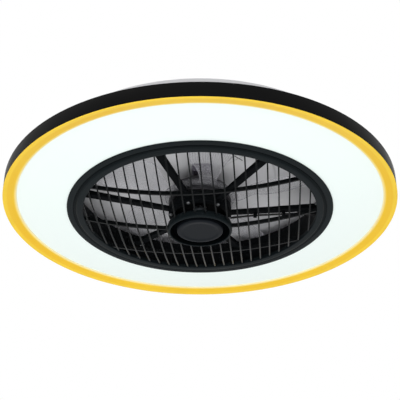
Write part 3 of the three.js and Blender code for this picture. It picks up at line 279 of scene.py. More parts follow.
def tinted(colour: Colour, factor: float) -> tuple[float, float, float, float]:
    """Return a colour made lighter or darker, with full alpha."""
    return (*(min(1.0, channel * factor) for channel in colour), 1.0)


@dataclass(frozen=True)
class Finish:
    """A moulded or painted surface: faint mottling, fine grain and uneven gloss."""

    name: str
    slot: str
    colour: Colour
    roughness: float
    specular: float = 0.5
    metallic: float = 0.0
    mottle: float = 0.05
    mottle_scale: float = 18.0
    grain_scale: float = 900.0
    grain_depth: float = 0.03
    gloss_spread: float = 0.06
    alpha: float = 1.0

    def material(self) -> bpy.types.Material:
        """Return the material, made on first use."""
        made = bpy.data.materials.get(self.name)
        if made is None:
            surface = Surface(self.name)
            self.paint(surface)
            made = surface.material
        return made

    def paint(self, surface: Surface) -> None:
        """Fill the surface's nodes."""
        clouds = surface.noise(self.mottle_scale, 4.0)
        surface.feed("Base Color", self.tone(surface, surface.span(clouds, 0.0, 1.0)))
        grain = surface.noise(self.grain_scale)
        surface.feed("Roughness", surface.span(
            clouds, self.roughness - self.gloss_spread, self.roughness + self.gloss_spread,
        ))
        surface.feed("Specular IOR Level", self.specular)
        surface.feed("Metallic", self.metallic)
        surface.feed("Alpha", self.alpha)
        surface.bump(grain, self.grain_depth)

    def tone(self, surface: Surface, clouds: bpy.types.NodeSocket) -> bpy.types.NodeSocket:
        """Return the colour, mottled by soft clouds."""
        return surface.mixed(clouds, tinted(self.colour, 1 - self.mottle),
                             tinted(self.colour, 1 + self.mottle))


@dataclass(frozen=True)
class GrooveShadedPlastic(Finish):
    """Moulding with painted shade in its ring-shaped grooves: darker and duller there than on its
    faces.
    """

    # Painted shade in each groove: inner radius, outer radius and the share of shade.
    grooves: tuple[Triple, ...] = ((184.3, 188.1, 0.45), (34.6, 43.8, 1.0))  # from, to, share
    soft: float = 0.7
    shadow: float = 0.2

    def paint(self, surface: Surface) -> None:
        """Fill the surface's nodes."""
        super().paint(surface)
        # Painted shade also takes the gloss out of the grooves.
        surface.feed("Specular IOR Level", surface.span(
            self.inside(surface).socket, self.specular, 0.0, 0.0, 1.0,
        ))

    def tone(self, surface: Surface, clouds: bpy.types.NodeSocket) -> bpy.types.NodeSocket:
        """Return the colour, with painted shade in the grooves."""
        return surface.mixed(self.inside(surface), super().tone(surface, clouds),
                             tinted(self.colour, self.shadow))

    def inside(self, surface: Surface) -> Field:
        """Return the share of painted shade that the grooves give a point, from 0 to 1."""
        radius = surface.radius()
        total = None
        for inner, outer, depth in self.grooves:
            rise = Field(surface, surface.span(radius, 0.0, depth, inner - self.soft, inner))
            share = rise * surface.span(radius, 1.0, 0.0, outer, outer + self.soft)
            total = share if total is None else total + share
        return total


@dataclass(frozen=True)
class BrushedSteel(Finish):
    """Plated steel with fine lines drawn along one way."""

    lines: Triple = (30.0, 900.0, 900.0)

    def paint(self, surface: Surface) -> None:
        """Fill the surface's nodes."""
        drawn = surface.noise(1.0, 3.0, surface.stretched(self.lines))
        clouds = surface.noise(self.mottle_scale, 3.0)
        surface.feed("Base Color", surface.mixed(
            surface.span(clouds, 0.0, 1.0), tinted(self.colour, 0.85), tinted(self.colour, 1.12),
        ))
        surface.feed("Roughness", surface.span(
            drawn, self.roughness - self.gloss_spread, self.roughness + self.gloss_spread,
        ))
        surface.feed("Metallic", self.metallic)
        surface.bump(drawn, self.grain_depth)


@dataclass(frozen=True)
class OpalGlow(Finish):
    """Milky diffuser that gives light, a little less near its two edges."""

    glow: float = 0.40
    body: float = 0.60
    inner: float = 192.3
    outer: float = 283.7
    fade: float = 14.0

    def paint(self, surface: Surface) -> None:
        """Fill the surface's nodes."""
        radius = surface.radius()
        near = surface.span(radius, 0.93, 1.0, self.inner, self.inner + self.fade)
        far = surface.span(radius, 1.0, 0.95, self.outer - 2 * self.fade, self.outer)
        clouds = surface.noise(self.mottle_scale, 2.0)
        level = Field(surface, near) * far * surface.span(clouds, 0.985, 1.0)
        surface.feed("Base Color", surface.mixed(level.socket, (0.3, 0.31, 0.3, 1.0),
                                                 tinted(self.colour, self.body)))
        surface.feed("Emission Color", surface.mixed(level.socket, (0.2, 0.2, 0.18, 1.0),
                                                     tinted(self.colour, 1.0)))
        surface.feed("Emission Strength", self.glow)
        surface.feed("Roughness", surface.span(clouds, self.roughness, self.roughness + 0.1))
        surface.feed("Specular IOR Level", self.specular)
        surface.bump(surface.noise(self.grain_scale), self.grain_depth)


@dataclass(frozen=True)
class AccentPlastic(Finish):
    """Coloured ring that turns paler where the shade's light spills on its inner edge."""

    deep: Colour = (0.89, 0.535, 0.035)
    spill: Colour = (1.0, 0.92, 0.60)
    inner: float = 270.4
    spill_reach: float = 4.0
    band: Point = (275.5, 283.0)

    def tone(self, surface: Surface, clouds: bpy.types.NodeSocket) -> bpy.types.NodeSocket:
        """Return the colour: pale inside, deeper in a middle band, lighter outside."""
        radius = surface.radius()
        rise = Field(surface, surface.span(radius, 0.0, 1.0, self.band[0] - 2, self.band[0]))
        middle = rise * surface.span(radius, 1.0, 0.0, self.band[1], self.band[1] + 2)
        patches = surface.span(surface.noise(4.0), 0.35, 1.0)
        banded = surface.mixed(middle * patches, super().tone(surface, clouds),
                               tinted(self.deep, 1.0))
        edge = surface.span(radius, 0.85, 0.0, self.inner, self.inner + self.spill_reach)
        return surface.mixed(edge, banded, tinted(self.spill, 1.0))


@dataclass(frozen=True)
class ClearBlade(Finish):
    """Clear plastic with fine moulded lines along the blade."""

    alpha: float = 0.13
    line_alpha: float = 0.12
    edge_alpha: float = 0.30
    lines: float = 18.0

    def paint(self, surface: Surface) -> None:
        """Fill the surface's nodes."""
        across = Field(surface, surface.add("ShaderNodeSeparateXYZ", {
            0: surface.add("ShaderNodeUVMap", uv_map="blade").outputs[0],
        }).outputs[1])
        ridges = surface.maths("SINE", across * self.lines * TURN) * 0.5 + 0.5
        margin = surface.maths("ABSOLUTE", across - 0.5)
        edge = Field(surface, surface.span(margin, 0.0, 1.0, 0.465, 0.495))
        clouds = surface.noise(self.mottle_scale, 3.0)
        surface.feed("Base Color", surface.mixed(
            surface.span(clouds, 0.0, 1.0), tinted(self.colour, 0.9), tinted(self.colour, 1.08),
        ))
        surface.feed("Roughness", surface.span(
            clouds, self.roughness, self.roughness + self.gloss_spread,
        ))
        surface.feed("Specular IOR Level", self.specular)
        alpha = ridges * ridges * self.line_alpha + edge * self.edge_alpha + self.alpha
        surface.feed("Alpha", alpha.socket)
        surface.bump(ridges.socket, self.grain_depth)


ZINC = BrushedSteel("zinc_plate", "zinc_steel", (0.42, 0.45, 0.47), 0.38, metallic=0.9,
                    grain_depth=0.01, gloss_spread=0.1)
LAMINATION = BrushedSteel("core_steel", "zinc_steel", (0.30, 0.31, 0.33), 0.45, metallic=0.85,
                          grain_depth=0.02, lines=(20.0, 20.0, 1600.0))
WHITE_COAT = Finish("white_powder_coat", "white_steel", (0.71, 0.71, 0.73), 0.5, mottle=0.03,
                    grain_scale=700.0, grain_depth=0.04)
BLACK_PAINT = Finish("black_satin_paint", "black_paint", (0.0045, 0.0045, 0.0046), 0.38,
                     specular=0.035, grain_scale=1200.0, grain_depth=0.01)
YELLOW = AccentPlastic("golden_ring", "yellow_gloss", (0.94, 0.64, 0.06), 0.35, specular=0.06,
                       grain_depth=0.01)
OPAL = OpalGlow("opal_diffuser", "opal_shade", (0.913, 1.0, 0.973), 0.5, specular=0.2,
                grain_depth=0.01)
# Black mouldings with painted shade in the groove between bezel and grille rim and round the hub.
BLACK_PLASTIC = GrooveShadedPlastic("black_moulding", "black_plastic", (0.0060, 0.0090, 0.0104), 0.42,
                               specular=0.045, mottle=0.12)
CAP_PLASTIC = GrooveShadedPlastic("cap_moulding", "black_plastic", (0.0060, 0.0078, 0.0104), 0.35,
                             specular=0.045, mottle=0.1)
DARK_PLASTIC = Finish("black_inner_moulding", "black_plastic", (0.0048, 0.0056, 0.0064), 0.5,
                      specular=0.015, mottle=0.12)
# The bars are of the same black plastic as the grille's frame; their darker colour is painted
# shade.
SHADED_BAR_PLASTIC = Finish("black_bar_moulding", "black_plastic", (0.0045, 0.0055, 0.006), 0.3,
                     specular=0.07, mottle=0.12)
CLEAR = ClearBlade("clear_blade", "clear_plastic", (0.62, 0.62, 0.66), 0.2, grain_depth=0.02)
CLEAR_RING = Finish("clear_hub_ring", "clear_plastic", (0.30, 0.30, 0.32), 0.3,
                    specular=0.2, grain_depth=0.01, alpha=0.22)
WHITE_PLASTIC = Finish("white_casing", "white_plastic", (0.74, 0.74, 0.72), 0.5)
TERMINAL = Finish("terminal_plastic", "white_plastic", (0.16, 0.15, 0.19), 0.45, mottle=0.35,
                  mottle_scale=90.0)
BOARD = Finish("solder_mask", "board_white", (0.9, 0.9, 0.87), 0.5, mottle=0.02)
COPPER = BrushedSteel("enamelled_wire", "copper", (0.55, 0.19, 0.05), 0.35, metallic=0.8,
                      lines=(60.0, 60.0, 1400.0), grain_depth=0.15)
FERRITE = Finish("ferrite", "ferrite", (0.027, 0.025, 0.025), 0.7, mottle=0.2,
                 grain_scale=500.0, grain_depth=0.08)
RUBBER = Finish("black_rubber", "black_rubber", (0.010, 0.010, 0.010), 0.65, specular=0.25,
                grain_scale=400.0, grain_depth=0.05)
ROTOR_STEEL = BrushedSteel("rotor_steel", "zinc_steel", (0.05, 0.05, 0.055), 0.45, metallic=0.6,
                           grain_depth=0.01)
BLACK_STEEL = BrushedSteel("blackened_steel", "zinc_steel", (0.14, 0.145, 0.15), 0.4,
                           metallic=0.8, grain_depth=0.01)


# ---------------------------------------------------------------- meshes


def rounded(outline: Sequence[Corner], steps: int = 3) -> list[Point]:
    """Round the corners of a closed outline.

    Args:
        outline: corners as (radius from the axis, height, corner radius).
        steps: straight pieces in each rounded corner.

    Returns:
        The points of the outline.
    """
    points: list[Point] = []
    count = len(outline)
    for i, (x, z, size) in enumerate(outline):
        if size <= 0:
            points.append((x, z))
            continue
        here = Vector((x, z))
        arms = []
        for neighbour in (outline[i - 1], outline[(i + 1) % count]):
            arm = Vector(neighbour[:2]) - here
            arms.append(arm.normalized() * min(size, 0.49 * arm.length))
        for step in range(steps + 1):
            t = step / steps
            point = here + arms[0] * (1 - t) ** 2 + arms[1] * t ** 2
            points.append((point.x, point.y))
    return points


def mesh_of(name: str, vertices: Sequence[Sequence[float]], faces: Sequence[Sequence[int]],
            shading: Shading = Shading.SMOOTH) -> bpy.types.Mesh:
    """Write a closed mesh, merged and facing outwards.

    Args:
        name: the mesh's name.
        vertices: its points, in millimetres.
        faces: its faces, as places in the list of points.
        shading: how its faces meet.

    Returns:
        The mesh, in metres.
    """
    mesh = bpy.data.meshes.new(name)
    mesh.from_pydata([[value * MM for value in vertex] for vertex in vertices], [], faces)
    work = bmesh.new()
    work.from_mesh(mesh)
    bmesh.ops.remove_doubles(work, verts=work.verts, dist=1e-7)
    bmesh.ops.dissolve_degenerate(work, dist=1e-8, edges=work.edges)
    loose = [edge for edge in work.edges if not edge.link_faces]
    bmesh.ops.delete(work, geom=loose, context="EDGES")
    bmesh.ops.recalc_face_normals(work, faces=work.faces)
    work.to_mesh(mesh)
    work.free()
    mesh.shade_smooth()
    mesh.set_sharp_from_angle(angle=math.radians(shading.value))
    return mesh


def lathe(name: str, outline: Sequence[Corner], steps: int = RING_STEPS) -> bpy.types.Mesh:
    """Turn a closed outline about the Z axis.

    Args:
        name: the mesh's name.
        outline: corners as (radius from the axis, height, corner radius).
        steps: sides of the turned piece.

    Returns:
        A closed mesh.
    """
    points = rounded(outline)
    count = len(points)
    vertices = [
        (r * math.cos(TURN * i / steps), r * math.sin(TURN * i / steps), z)
        for i in range(steps) for r, z in points
    ]
    faces = [
        (i * count + j, i * count + (j + 1) % count,
         ((i + 1) % steps) * count + (j + 1) % count, ((i + 1) % steps) * count + j)
        for i in range(steps) for j in range(count)
    ]
    return mesh_of(name, vertices, faces)


def lofted(name: str, rings: Sequence[Sequence[Sequence[float]]],
           shading: Shading = Shading.SMOOTH) -> bpy.types.Mesh:
    """Join closed cross-sections into one closed body with flat ends.

    Args:
        name: the mesh's name.
        rings: the cross-sections, each with the same number of points.
        shading: how its faces meet.

    Returns:
        A closed mesh.
    """
    count = len(rings[0])
    vertices = [point for ring in rings for point in ring]
    faces: list[Sequence[int]] = [tuple(range(count))]
    for i in range(len(rings) - 1):
        for j in range(count):
            k = (j + 1) % count
            faces.append((i * count + j, i * count + k, (i + 1) * count + k, (i + 1) * count + j))
    faces.append(tuple(range((len(rings) - 1) * count, len(rings) * count)))
    return mesh_of(name, vertices, faces, shading)


def joined(name: str, meshes: Iterable[bpy.types.Mesh]) -> bpy.types.Mesh:
    """Put several meshes into one, each body as it was."""
    work = bmesh.new()
    for mesh in meshes:
        work.from_mesh(mesh)
    result = bpy.data.meshes.new(name)
    work.to_mesh(result)
    work.free()
    return result


def placed(mesh: bpy.types.Mesh, matrix: Matrix) -> bpy.types.Mesh:
    """Move a mesh and return it."""
    mesh.transform(matrix)
    return mesh


def turned(mesh: bpy.types.Mesh, degrees: float) -> bpy.types.Mesh:
    """Turn a mesh about the fan's axis and return it."""
    return placed(mesh, Matrix.Rotation(math.radians(degrees), 4, "Z"))


def slab(name: str, size: Sequence[float], middle: Sequence[float], corner: float,
         edge: float = 0.6) -> bpy.types.Mesh:
    """Make a casing with round upright corners and softened rims.

    Args:
        name: the mesh's name.
        size: its size along X, Y and Z.
        middle: its centre.
        corner: the radius of its upright corners.
        edge: the width of the softening round its top and bottom.

    Returns:
        A closed mesh.
    """
    def section(inset: float, z: float) -> list[Sequence[float]]:
        """Return the outline at one level, drawn in by an inset."""
        half = (size[0] / 2 - corner, size[1] / 2 - corner)
        points = []
        for quarter, (sx, sy) in enumerate(((1, 1), (-1, 1), (-1, -1), (1, -1))):
            for step in range(7):
                angle = (quarter + step / 6) * math.pi / 2
                reach = corner - inset
                points.append((middle[0] + sx * half[0] + reach * math.cos(angle),
                               middle[1] + sy * half[1] + reach * math.sin(angle), z))
        return points

    low, high = middle[2] - size[2] / 2, middle[2] + size[2] / 2
    levels = ((edge, low), (0.3 * edge, low + 0.3 * edge), (0.0, low + edge), (0.0, high - edge),
              (0.3 * edge, high - 0.3 * edge), (edge, high))
    return lofted(name, [section(inset, z) for inset, z in levels])


def tube(name: str, points: Sequence[Sequence[float]], radius: float, sides: int = 14,
         per_span: int = 8) -> bpy.types.Mesh:
    """Make a round cable along a smooth curve through the points.

    Args:
        name: the mesh's name.
        points: where the cable's middle passes.
        radius: its radius.
        sides: the sides of its section.
        per_span: straight pieces between two points.

    Returns:
        A closed mesh.
    """
    path = [Vector(point) for point in points]
    route: list[Vector] = []
    for i in range(len(path) - 1):
        a, b, c, d = (path[max(0, min(len(path) - 1, i + k))] for k in (-1, 0, 1, 2))
        for step in range(per_span):
            t = step / per_span
            route.append(0.5 * (2 * b + (c - a) * t + (2 * a - 5 * b + 4 * c - d) * t ** 2
                                + (3 * b - 3 * c + d - a) * t ** 3))
    route.append(path[-1])
    rings = []
    side = Vector((0, 1, 0))
    for i, here in enumerate(route):
        along = (route[min(i + 1, len(route) - 1)] - route[max(i - 1, 0)]).normalized()
        side = (side - along * side.dot(along)).normalized()
        other = along.cross(side)
        rings.append([
            here + radius * (math.cos(TURN * k / sides) * side + math.sin(TURN * k / sides) * other)
            for k in range(sides)
        ])
    return lofted(name, rings)


def piece(mesh: bpy.types.Mesh, finish: Finish, body: Body, *nodes: str) -> bpy.types.Object:
    """Show a mesh as one piece of the fan.

    Args:
        mesh: the piece's mesh; the piece takes its name.
        finish: what it is made of.
        body: the body that it moves with.
        *nodes: the solids that it stands for.

    Returns:
        The piece's object.
    """
    shown = bpy.data.objects.new(mesh.name, mesh)
    bpy.context.scene.collection.objects.link(shown)
    mesh.materials.clear()
    mesh.materials.append(finish.material())
    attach(shown, body.value)
    if nodes:
        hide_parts(*nodes)
    LOG.info("%s rides on %s, %d faces", mesh.name, body.value, len(mesh.polygons))
    return shown


def dress(finish: Finish, *nodes: str) -> None:
    """Give solids that stay as they are a better material."""
    for node in nodes:
        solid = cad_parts[node]
        if not solid.material_slots:
            solid.data.materials.append(finish.material())
        for slot in solid.material_slots:
            slot.link = "OBJECT"
            slot.material = finish.material()
        LOG.info("%s keeps its solid", node)


def numbered(stem: str, count: int) -> list[str]:
    """Return the names of a row of solids."""
    return [f"{stem}_{i + 1}" for i in range(count)]


def low(node: str) -> float:
    """Return the lowest height of a solid, in millimetres."""
    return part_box(node)[0][2] / MM


def high(node: str) -> float:
    """Return the greatest height of a solid, in millimetres."""
    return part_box(node)[1][2] / MM


def reach(node: str) -> float:
    """Return the outer radius of a round solid, in millimetres."""
    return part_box(node)[1][0] / MM


def around(name: str, mesh: bpy.types.Mesh, count: int, first: float, finish: Finish
           ) -> bpy.types.Mesh:
    """Repeat a mesh round the fan's axis with Geometry Nodes.

    Args:
        name: the result's name.
        mesh: what is repeated, as it stands on the +X side.
        count: how many there are.
        first: the angle of the first, in degrees.
        finish: what they are made of.

    Returns:
        One mesh with all of them.
    """
    tree = ShapeTree(f"{name}_pattern", {"Count": count, "First angle": math.radians(first)})
    points = tree.add("GeometryNodeMeshLine", {
        "Count": tree.size("Count"), "Offset": (0.0, 0.0, 0.0),
    })
    index = Field(tree, tree.add("GeometryNodeInputIndex").outputs[0])
    angle = index * TURN / tree.size("Count") + tree.size("First angle")
    spin = tree.add("ShaderNodeCombineXYZ", {"Z": angle})
    copies = tree.add("GeometryNodeInstanceOnPoints", {
        "Points": points.outputs[0], "Instance": tree.given(), "Rotation": spin.outputs[0],
    })
    tree.finish(copies.outputs[0], finish.material())
    return tree.grow(name, mesh)


HOLDERS: list[bpy.types.Object] = []


def holder(mesh: bpy.types.Mesh) -> bpy.types.Object:
    """Return a passing object that carries a mesh into a tree."""
    carried = bpy.data.objects.new(f"{mesh.name}_holder", mesh)
    bpy.context.scene.collection.objects.link(carried)
    HOLDERS.append(carried)
    return carried


def clear_holders() -> None:
    """Remove the passing objects once every tree has run."""
    while HOLDERS:
        bpy.data.objects.remove(HOLDERS.pop())


def carved(name: str, body: bpy.types.Mesh, tools: Sequence[bpy.types.Mesh], finish: Finish,
           crease: bool = True) -> bpy.types.Mesh:
    """Cut tools out of a mesh.

    Args:
        name: the result's name.
        body: the mesh that is cut.
        tools: what is taken away.
        finish: what the piece is made of.
        crease: whether the edges are made sharp by angle again after the cut.

    Returns:
        The mesh that is left.
    """
    tree = ShapeTree(f"{name}_cuts")
    cutters = tree.add("GeometryNodeObjectInfo", {"Object": holder(joined(f"{name}_tools", tools))})
    cut = tree.add("GeometryNodeMeshBoolean", {
        "Mesh 1": tree.given(), "Mesh 2": cutters.outputs["Geometry"],
    }, operation="DIFFERENCE", solver="MANIFOLD")
    tree.finish(cut.outputs[0], finish.material())
    mesh = tree.grow(name, body)
    if crease:
        mesh.set_sharp_from_angle(angle=math.radians(Shading.SMOOTH.value))
    return mesh


def peg(radius: float, bottom: float, top: float, x: float = 0.0, y: float = 0.0,
        steps: int = 32) -> bpy.types.Mesh:
    """Return an upright rod, for cutting round holes."""
    outline = [(0.0, bottom, 0.0), (radius, bottom, 0.0), (radius, top, 0.0), (0.0, top, 0.0)]
    return placed(lathe("peg", outline, steps), Matrix.Translation((x * MM, y * MM, 0)))


def on_circle(radius: float, degrees: float) -> Point:
    """Return a point of a circle about the fan's axis."""
    return radius * math.cos(math.radians(degrees)), radius * math.sin(math.radians(degrees))


def blend_between(value: float, start: float, end: float) -> float:
    """Return the eased share of the way from start to end."""
    t = min(1.0, max(0.0, (value - start) / (end - start)))
    return t * t * (3 - 2 * t)


# ---------------------------------------------------------------- fasteners


@dataclass
class Screw:
    """Pan-head screw with a cross recess, head down, seat at its origin."""

    head: float = 3.0
    head_height: float = 2.1
    shank: float = 1.6
    recess: float = 0.9
    slot_width: float = 0.8
    sides: int = 20
    finish: Finish = ZINC

    def mesh(self, length: float) -> bpy.types.Mesh:
        """Return one screw of a length, along +Z."""
        tall = self.head_height
        outline = [
            (0.0, -tall, 0.0), (0.55 * self.head, -tall, 0.3), (self.head, -0.45 * tall, 0.7),
            (self.head, 0.0, 0.15), (self.shank, 0.0, 0.0), (self.shank, length - 0.8, 0.0),
            (0.5 * self.shank, length, 0.0), (0.0, length, 0.0),
        ]
        body = lathe("screw_body", outline, self.sides)
        arm = self.head * 1.1
        bars = [
            slab("screw_slot", size, (0, 0, -tall), 0.2, 0.1)
            for size in ((arm, self.slot_width, 2 * self.recess),
                         (self.slot_width, arm, 2 * self.recess))
        ]
        return carved("screw", body, bars, self.finish, crease=False)

    def row(self, name: str, seats: Sequence[Sequence[float]], axes: Sequence[Sequence[float]],
            length: float, *nodes: str) -> bpy.types.Object:
        """Set screws on their seats.

        Args:
            name: the piece's name.
            seats: where each head's seat is.
            axes: the direction of each shank.
            length: the length of the shanks.
            *nodes: the solids that they stand for.

        Returns:
            One piece with all the screws.
        """
        base = bpy.data.meshes.new(f"{name}_seats")
        base.from_pydata([[value * MM for value in seat] for seat in seats], [], [])
        facing = base.attributes.new("facing", "FLOAT_VECTOR", "POINT")
        for entry, axis in zip(facing.data, axes):
            entry.vector = axis
        tree = ShapeTree(f"{name}_pattern", {"Scale": 1.0})
        facing_field = tree.add("GeometryNodeInputNamedAttribute", {"Name": "facing"},
                                data_type="FLOAT_VECTOR")
        rotation = tree.add("FunctionNodeAlignRotationToVector", {
            "Vector": facing_field.outputs[0],
        }, axis="Z")
        screw = tree.add("GeometryNodeObjectInfo", {"Object": holder(self.mesh(length))})
        points = tree.add("GeometryNodeMeshToPoints", {"Mesh": tree.given()})
        copies = tree.add("GeometryNodeInstanceOnPoints", {
            "Points": points.outputs[0], "Instance": screw.outputs["Geometry"],
            "Rotation": rotation.outputs[0], "Scale": tree.size("Scale"),
        })
        tree.finish(copies.outputs[0], self.finish.material())
        return piece(tree.grow(name, base), self.finish, Body.HOUSING, *nodes)

    def upright(self, name: str, *nodes: str) -> bpy.types.Object:
        """Set upright screws where their solids are."""
        boxes = [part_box(node) for node in nodes]
        seats = [((lo[0] + hi[0]) / 2 / MM, (lo[1] + hi[1]) / 2 / MM,
                  lo[2] / MM + self.head_height) for lo, hi in boxes]
        length = (boxes[0][1][2] - boxes[0][0][2]) / MM - self.head_height
        return self.row(name, seats, [(0, 0, 1)] * len(seats), length, *nodes)


# ---------------------------------------------------------------- ceiling side


@dataclass
class CeilingSide:
    """Bracket, pan, grommet and the electrical casings."""

    radius: float = 242.0
    depth: float = 47.2
    sheet: float = 1.2
    flange: float = 15.0
    recess: float = 113.0
    recess_drop: float = 2.3
    slope: float = 3.0
    slots: int = 12
    slot_width: float = 10.0
    slot_height: float = 26.0
    slot_middle: float = -25.0
    vent_radius: float = 80.0
    vent_angle: float = -48.0
    vent_pitch: float = 6.5
    vent: Triple = (10.0, 2.0, 6.0)
    # Size of the black sheets inside the vents, which are painted shade for the gap above them.
    felt: Triple = (9.6, 1.7, 0.5)
    shade_sheet_depth: float = 0.35
    screw_y: float = 80.0
    cable: Point = (30.0, 45.0)
    cable_hole: float = 8.3
    hole: float = 1.9
    arm_angle: float = 7.0
    plate: Triple = (36.0, 210.0, 2.0)
    plate_slot: Triple = (22.0, 5.5, 8.0)
    plate_slot_y: float = 42.0
    grommet_bore: float = 5.0
    grommet_neck: float = 8.0
    grommet_flange: float = 11.0
    grommet_lip: float = 1.5
    terminal: Point = (30.0, 20.0)
    terminal_place: Point = (3.0, -33.0)
    tower: Triple = (8.4, 15.0, 5.0)
    tower_pitch: float = 9.4
    well: Point = (2.6, 3.6)
    casing_width: float = 34.0
    controller_length: float = 70.0
    driver_length: float = 96.0
    casing_inset: float = 8.0
    seam_rise: float = 6.0
    seam_depth: float = 0.6
    seam_width: float = 0.8

    def build(self) -> None:
        """Make every piece against the ceiling."""
        self.bracket()
        self.pan()
        self.grommet()
        self.casings()
        Screw().upright("bracket_screws", *numbered("bracket_screw", 2))

    def bracket(self) -> None:
        """Make the slotted strip that is screwed to the ceiling."""
        z = -self.plate[2] / 2
        plate = slab("plate", self.plate, (0.0, 0.0, z), 5.0, 0.3)
        tools = [peg(self.hole, -4, 2, 0, side * self.screw_y) for side in (-1, 1)]
        tools += [slab("slot", self.plate_slot, (0.0, side * self.plate_slot_y, z), 2.74, 0.0)
                  for side in (-1, 1)]
        piece(carved("bracket", plate, tools, ZINC), ZINC, Body.HOUSING, "ceiling_bracket")

    def pan(self) -> None:
        """Make the pressed pan with its air slots and vents, and black sheets in the vents as
        painted shade.
        """
        top, floor = -self.recess_drop, -self.recess_drop - self.sheet
        inside, r = self.radius - self.sheet, self.radius
        outline = [
            (0.0, top, 0.0), (self.recess, top, 2.0), (self.recess + self.slope, 0.0, 2.0),
            (r, 0.0, 1.6), (r, -self.depth, 0.8), (inside - self.flange, -self.depth, 0.3),
            (inside - self.flange, self.sheet - self.depth, 0.3),
            (inside, self.sheet - self.depth, 0.6), (inside, -self.sheet, 0.8),
            (self.recess + self.slope + 0.6, -self.sheet, 1.5), (self.recess + 0.6, floor, 1.5),
            (0.0, floor, 0.0),
        ]
        slot = slab("air_slot", (self.slot_height, self.slot_width, 8.0), (0, 0, 0), 3.0, 0.0)
        slot = placed(slot, Matrix.Translation((inside * MM, 0, self.slot_middle * MM))
                      @ Matrix.Rotation(math.pi / 2, 4, "Y"))
        step = 180.0 / self.slots
        tools = [around("air_slots", slot, self.slots, step, WHITE_COAT)]
        tools += self.vents("vent", self.vent, floor, 0.99)
        tools += [peg(self.hole, floor - 2, top + 2, 0, side * self.screw_y) for side in (-1, 1)]
        tools.append(peg(self.cable_hole, floor - 2, top + 2, *self.cable))
        body = carved("pan", lathe("pan_body", outline), tools, WHITE_COAT)
        piece(body, WHITE_COAT, Body.HOUSING, "base_pan")
        # Painted shade: thin black sheets inside the vents, near their top, darken them as the gap
        # against the ceiling would.
        shade_sheets = self.vents("felt", self.felt, top - self.shade_sheet_depth, 0.8)
        piece(joined("vent_felts", shade_sheets), RUBBER, Body.HOUSING)

    def vents(self, name: str, size: Triple, z: float, corner: float) -> list[bpy.types.Mesh]:
        """Return a slab for each of the three vents in the pan's floor."""
        x, y = on_circle(self.vent_radius, self.vent_angle)
        turn = Matrix.Rotation(math.radians(-self.vent_angle), 4, "Z")
        return [
            placed(slab(name, size, (0, 0, z), corner, 0.0),
                   Matrix.Translation(((x + i) * MM, (y + i) * MM, 0)) @ turn)
            for i in (-self.vent_pitch, 0, self.vent_pitch)
        ]

    def grommet(self) -> None:
        """Make the rubber ring that the supply cable comes through."""
        bottom, top = low("cable_grommet"), high("cable_grommet")
        upper, lower = top - self.grommet_lip, bottom + self.grommet_lip
        bore, neck, brim = self.grommet_bore, self.grommet_neck, self.grommet_flange
        outline = [
            (bore, bottom, 0.6), (brim, bottom, 0.6), (brim, lower, 0.3), (neck, lower, 0.0),
            (neck, upper, 0.0), (brim, upper, 0.3), (brim, top, 0.6), (bore, top, 0.6),
        ]
        ring = lathe("grommet", outline, 48)
        shift = Matrix.Translation((self.cable[0] * MM, self.cable[1] * MM, 0))
        piece(placed(ring, shift), RUBBER, Body.HOUSING, "cable_grommet")

    def casings(self) -> None:
        """Make the terminal block, the controller and the driver."""
        self.terminals()
        self.casing("controller_casing", "motor_controller", 1, self.controller_length)
        self.casing("driver_casing", "led_driver", -1, self.driver_length)

    def terminals(self) -> None:
        """Make the terminal block with its three towers and their wells."""
        bottom, top = low("terminal_block"), high("terminal_block")
        x, y = self.terminal_place
        wide, deep, tall = self.tower
        foot = bottom + tall - 2
        blocks = [slab("base", (*self.terminal, top - foot), (x, y, (top + foot) / 2), 3.0)]
        for i in (-1, 0, 1):
            middle = x + i * self.tower_pitch
            tower = slab("tower", (wide, deep, tall), (middle, y, bottom + tall / 2), 1.5)
            wells = [peg(self.well[0], bottom - 1, bottom + 2, middle, y + side * self.well[1])
                     for side in (-1, 1)]
            blocks.append(carved("tower", tower, wells, TERMINAL))
        piece(joined("terminals", blocks), TERMINAL, Body.HOUSING, "terminal_block")

    def casing(self, name: str, node: str, side: int, length: float) -> None:
        """Make a white casing with a seam round it.

        Args:
            name: the piece's name.
            node: the solid that it stands for.
            side: 1 for the +X side of the pan, -1 for the other.
            length: its size along Y.
        """
        bottom, top = low(node), high(node)
        width = self.casing_width
        x = side * (self.radius - self.casing_inset - width / 2)
        seam_place = (x, 0.0, bottom + self.seam_rise)
        body = slab(node + "_body", (width, length, top - bottom), (x, 0.0, (top + bottom) / 2),
                    4.0, 1.2)
        inner, outer = (
            slab(f"{node}_seam", (width + grow, length + grow, self.seam_width), seam_place,
                 corner, 0.0)
            for grow, corner in ((-2 * self.seam_depth, 3.6), (4.0, 5.0))
        )
        groove = carved("groove", outer, [inner], WHITE_PLASTIC)
        casing = carved(name, body, [groove], WHITE_PLASTIC)
        piece(turned(casing, self.arm_angle), WHITE_PLASTIC, Body.HOUSING, node)


# ---------------------------------------------------------------- light ring


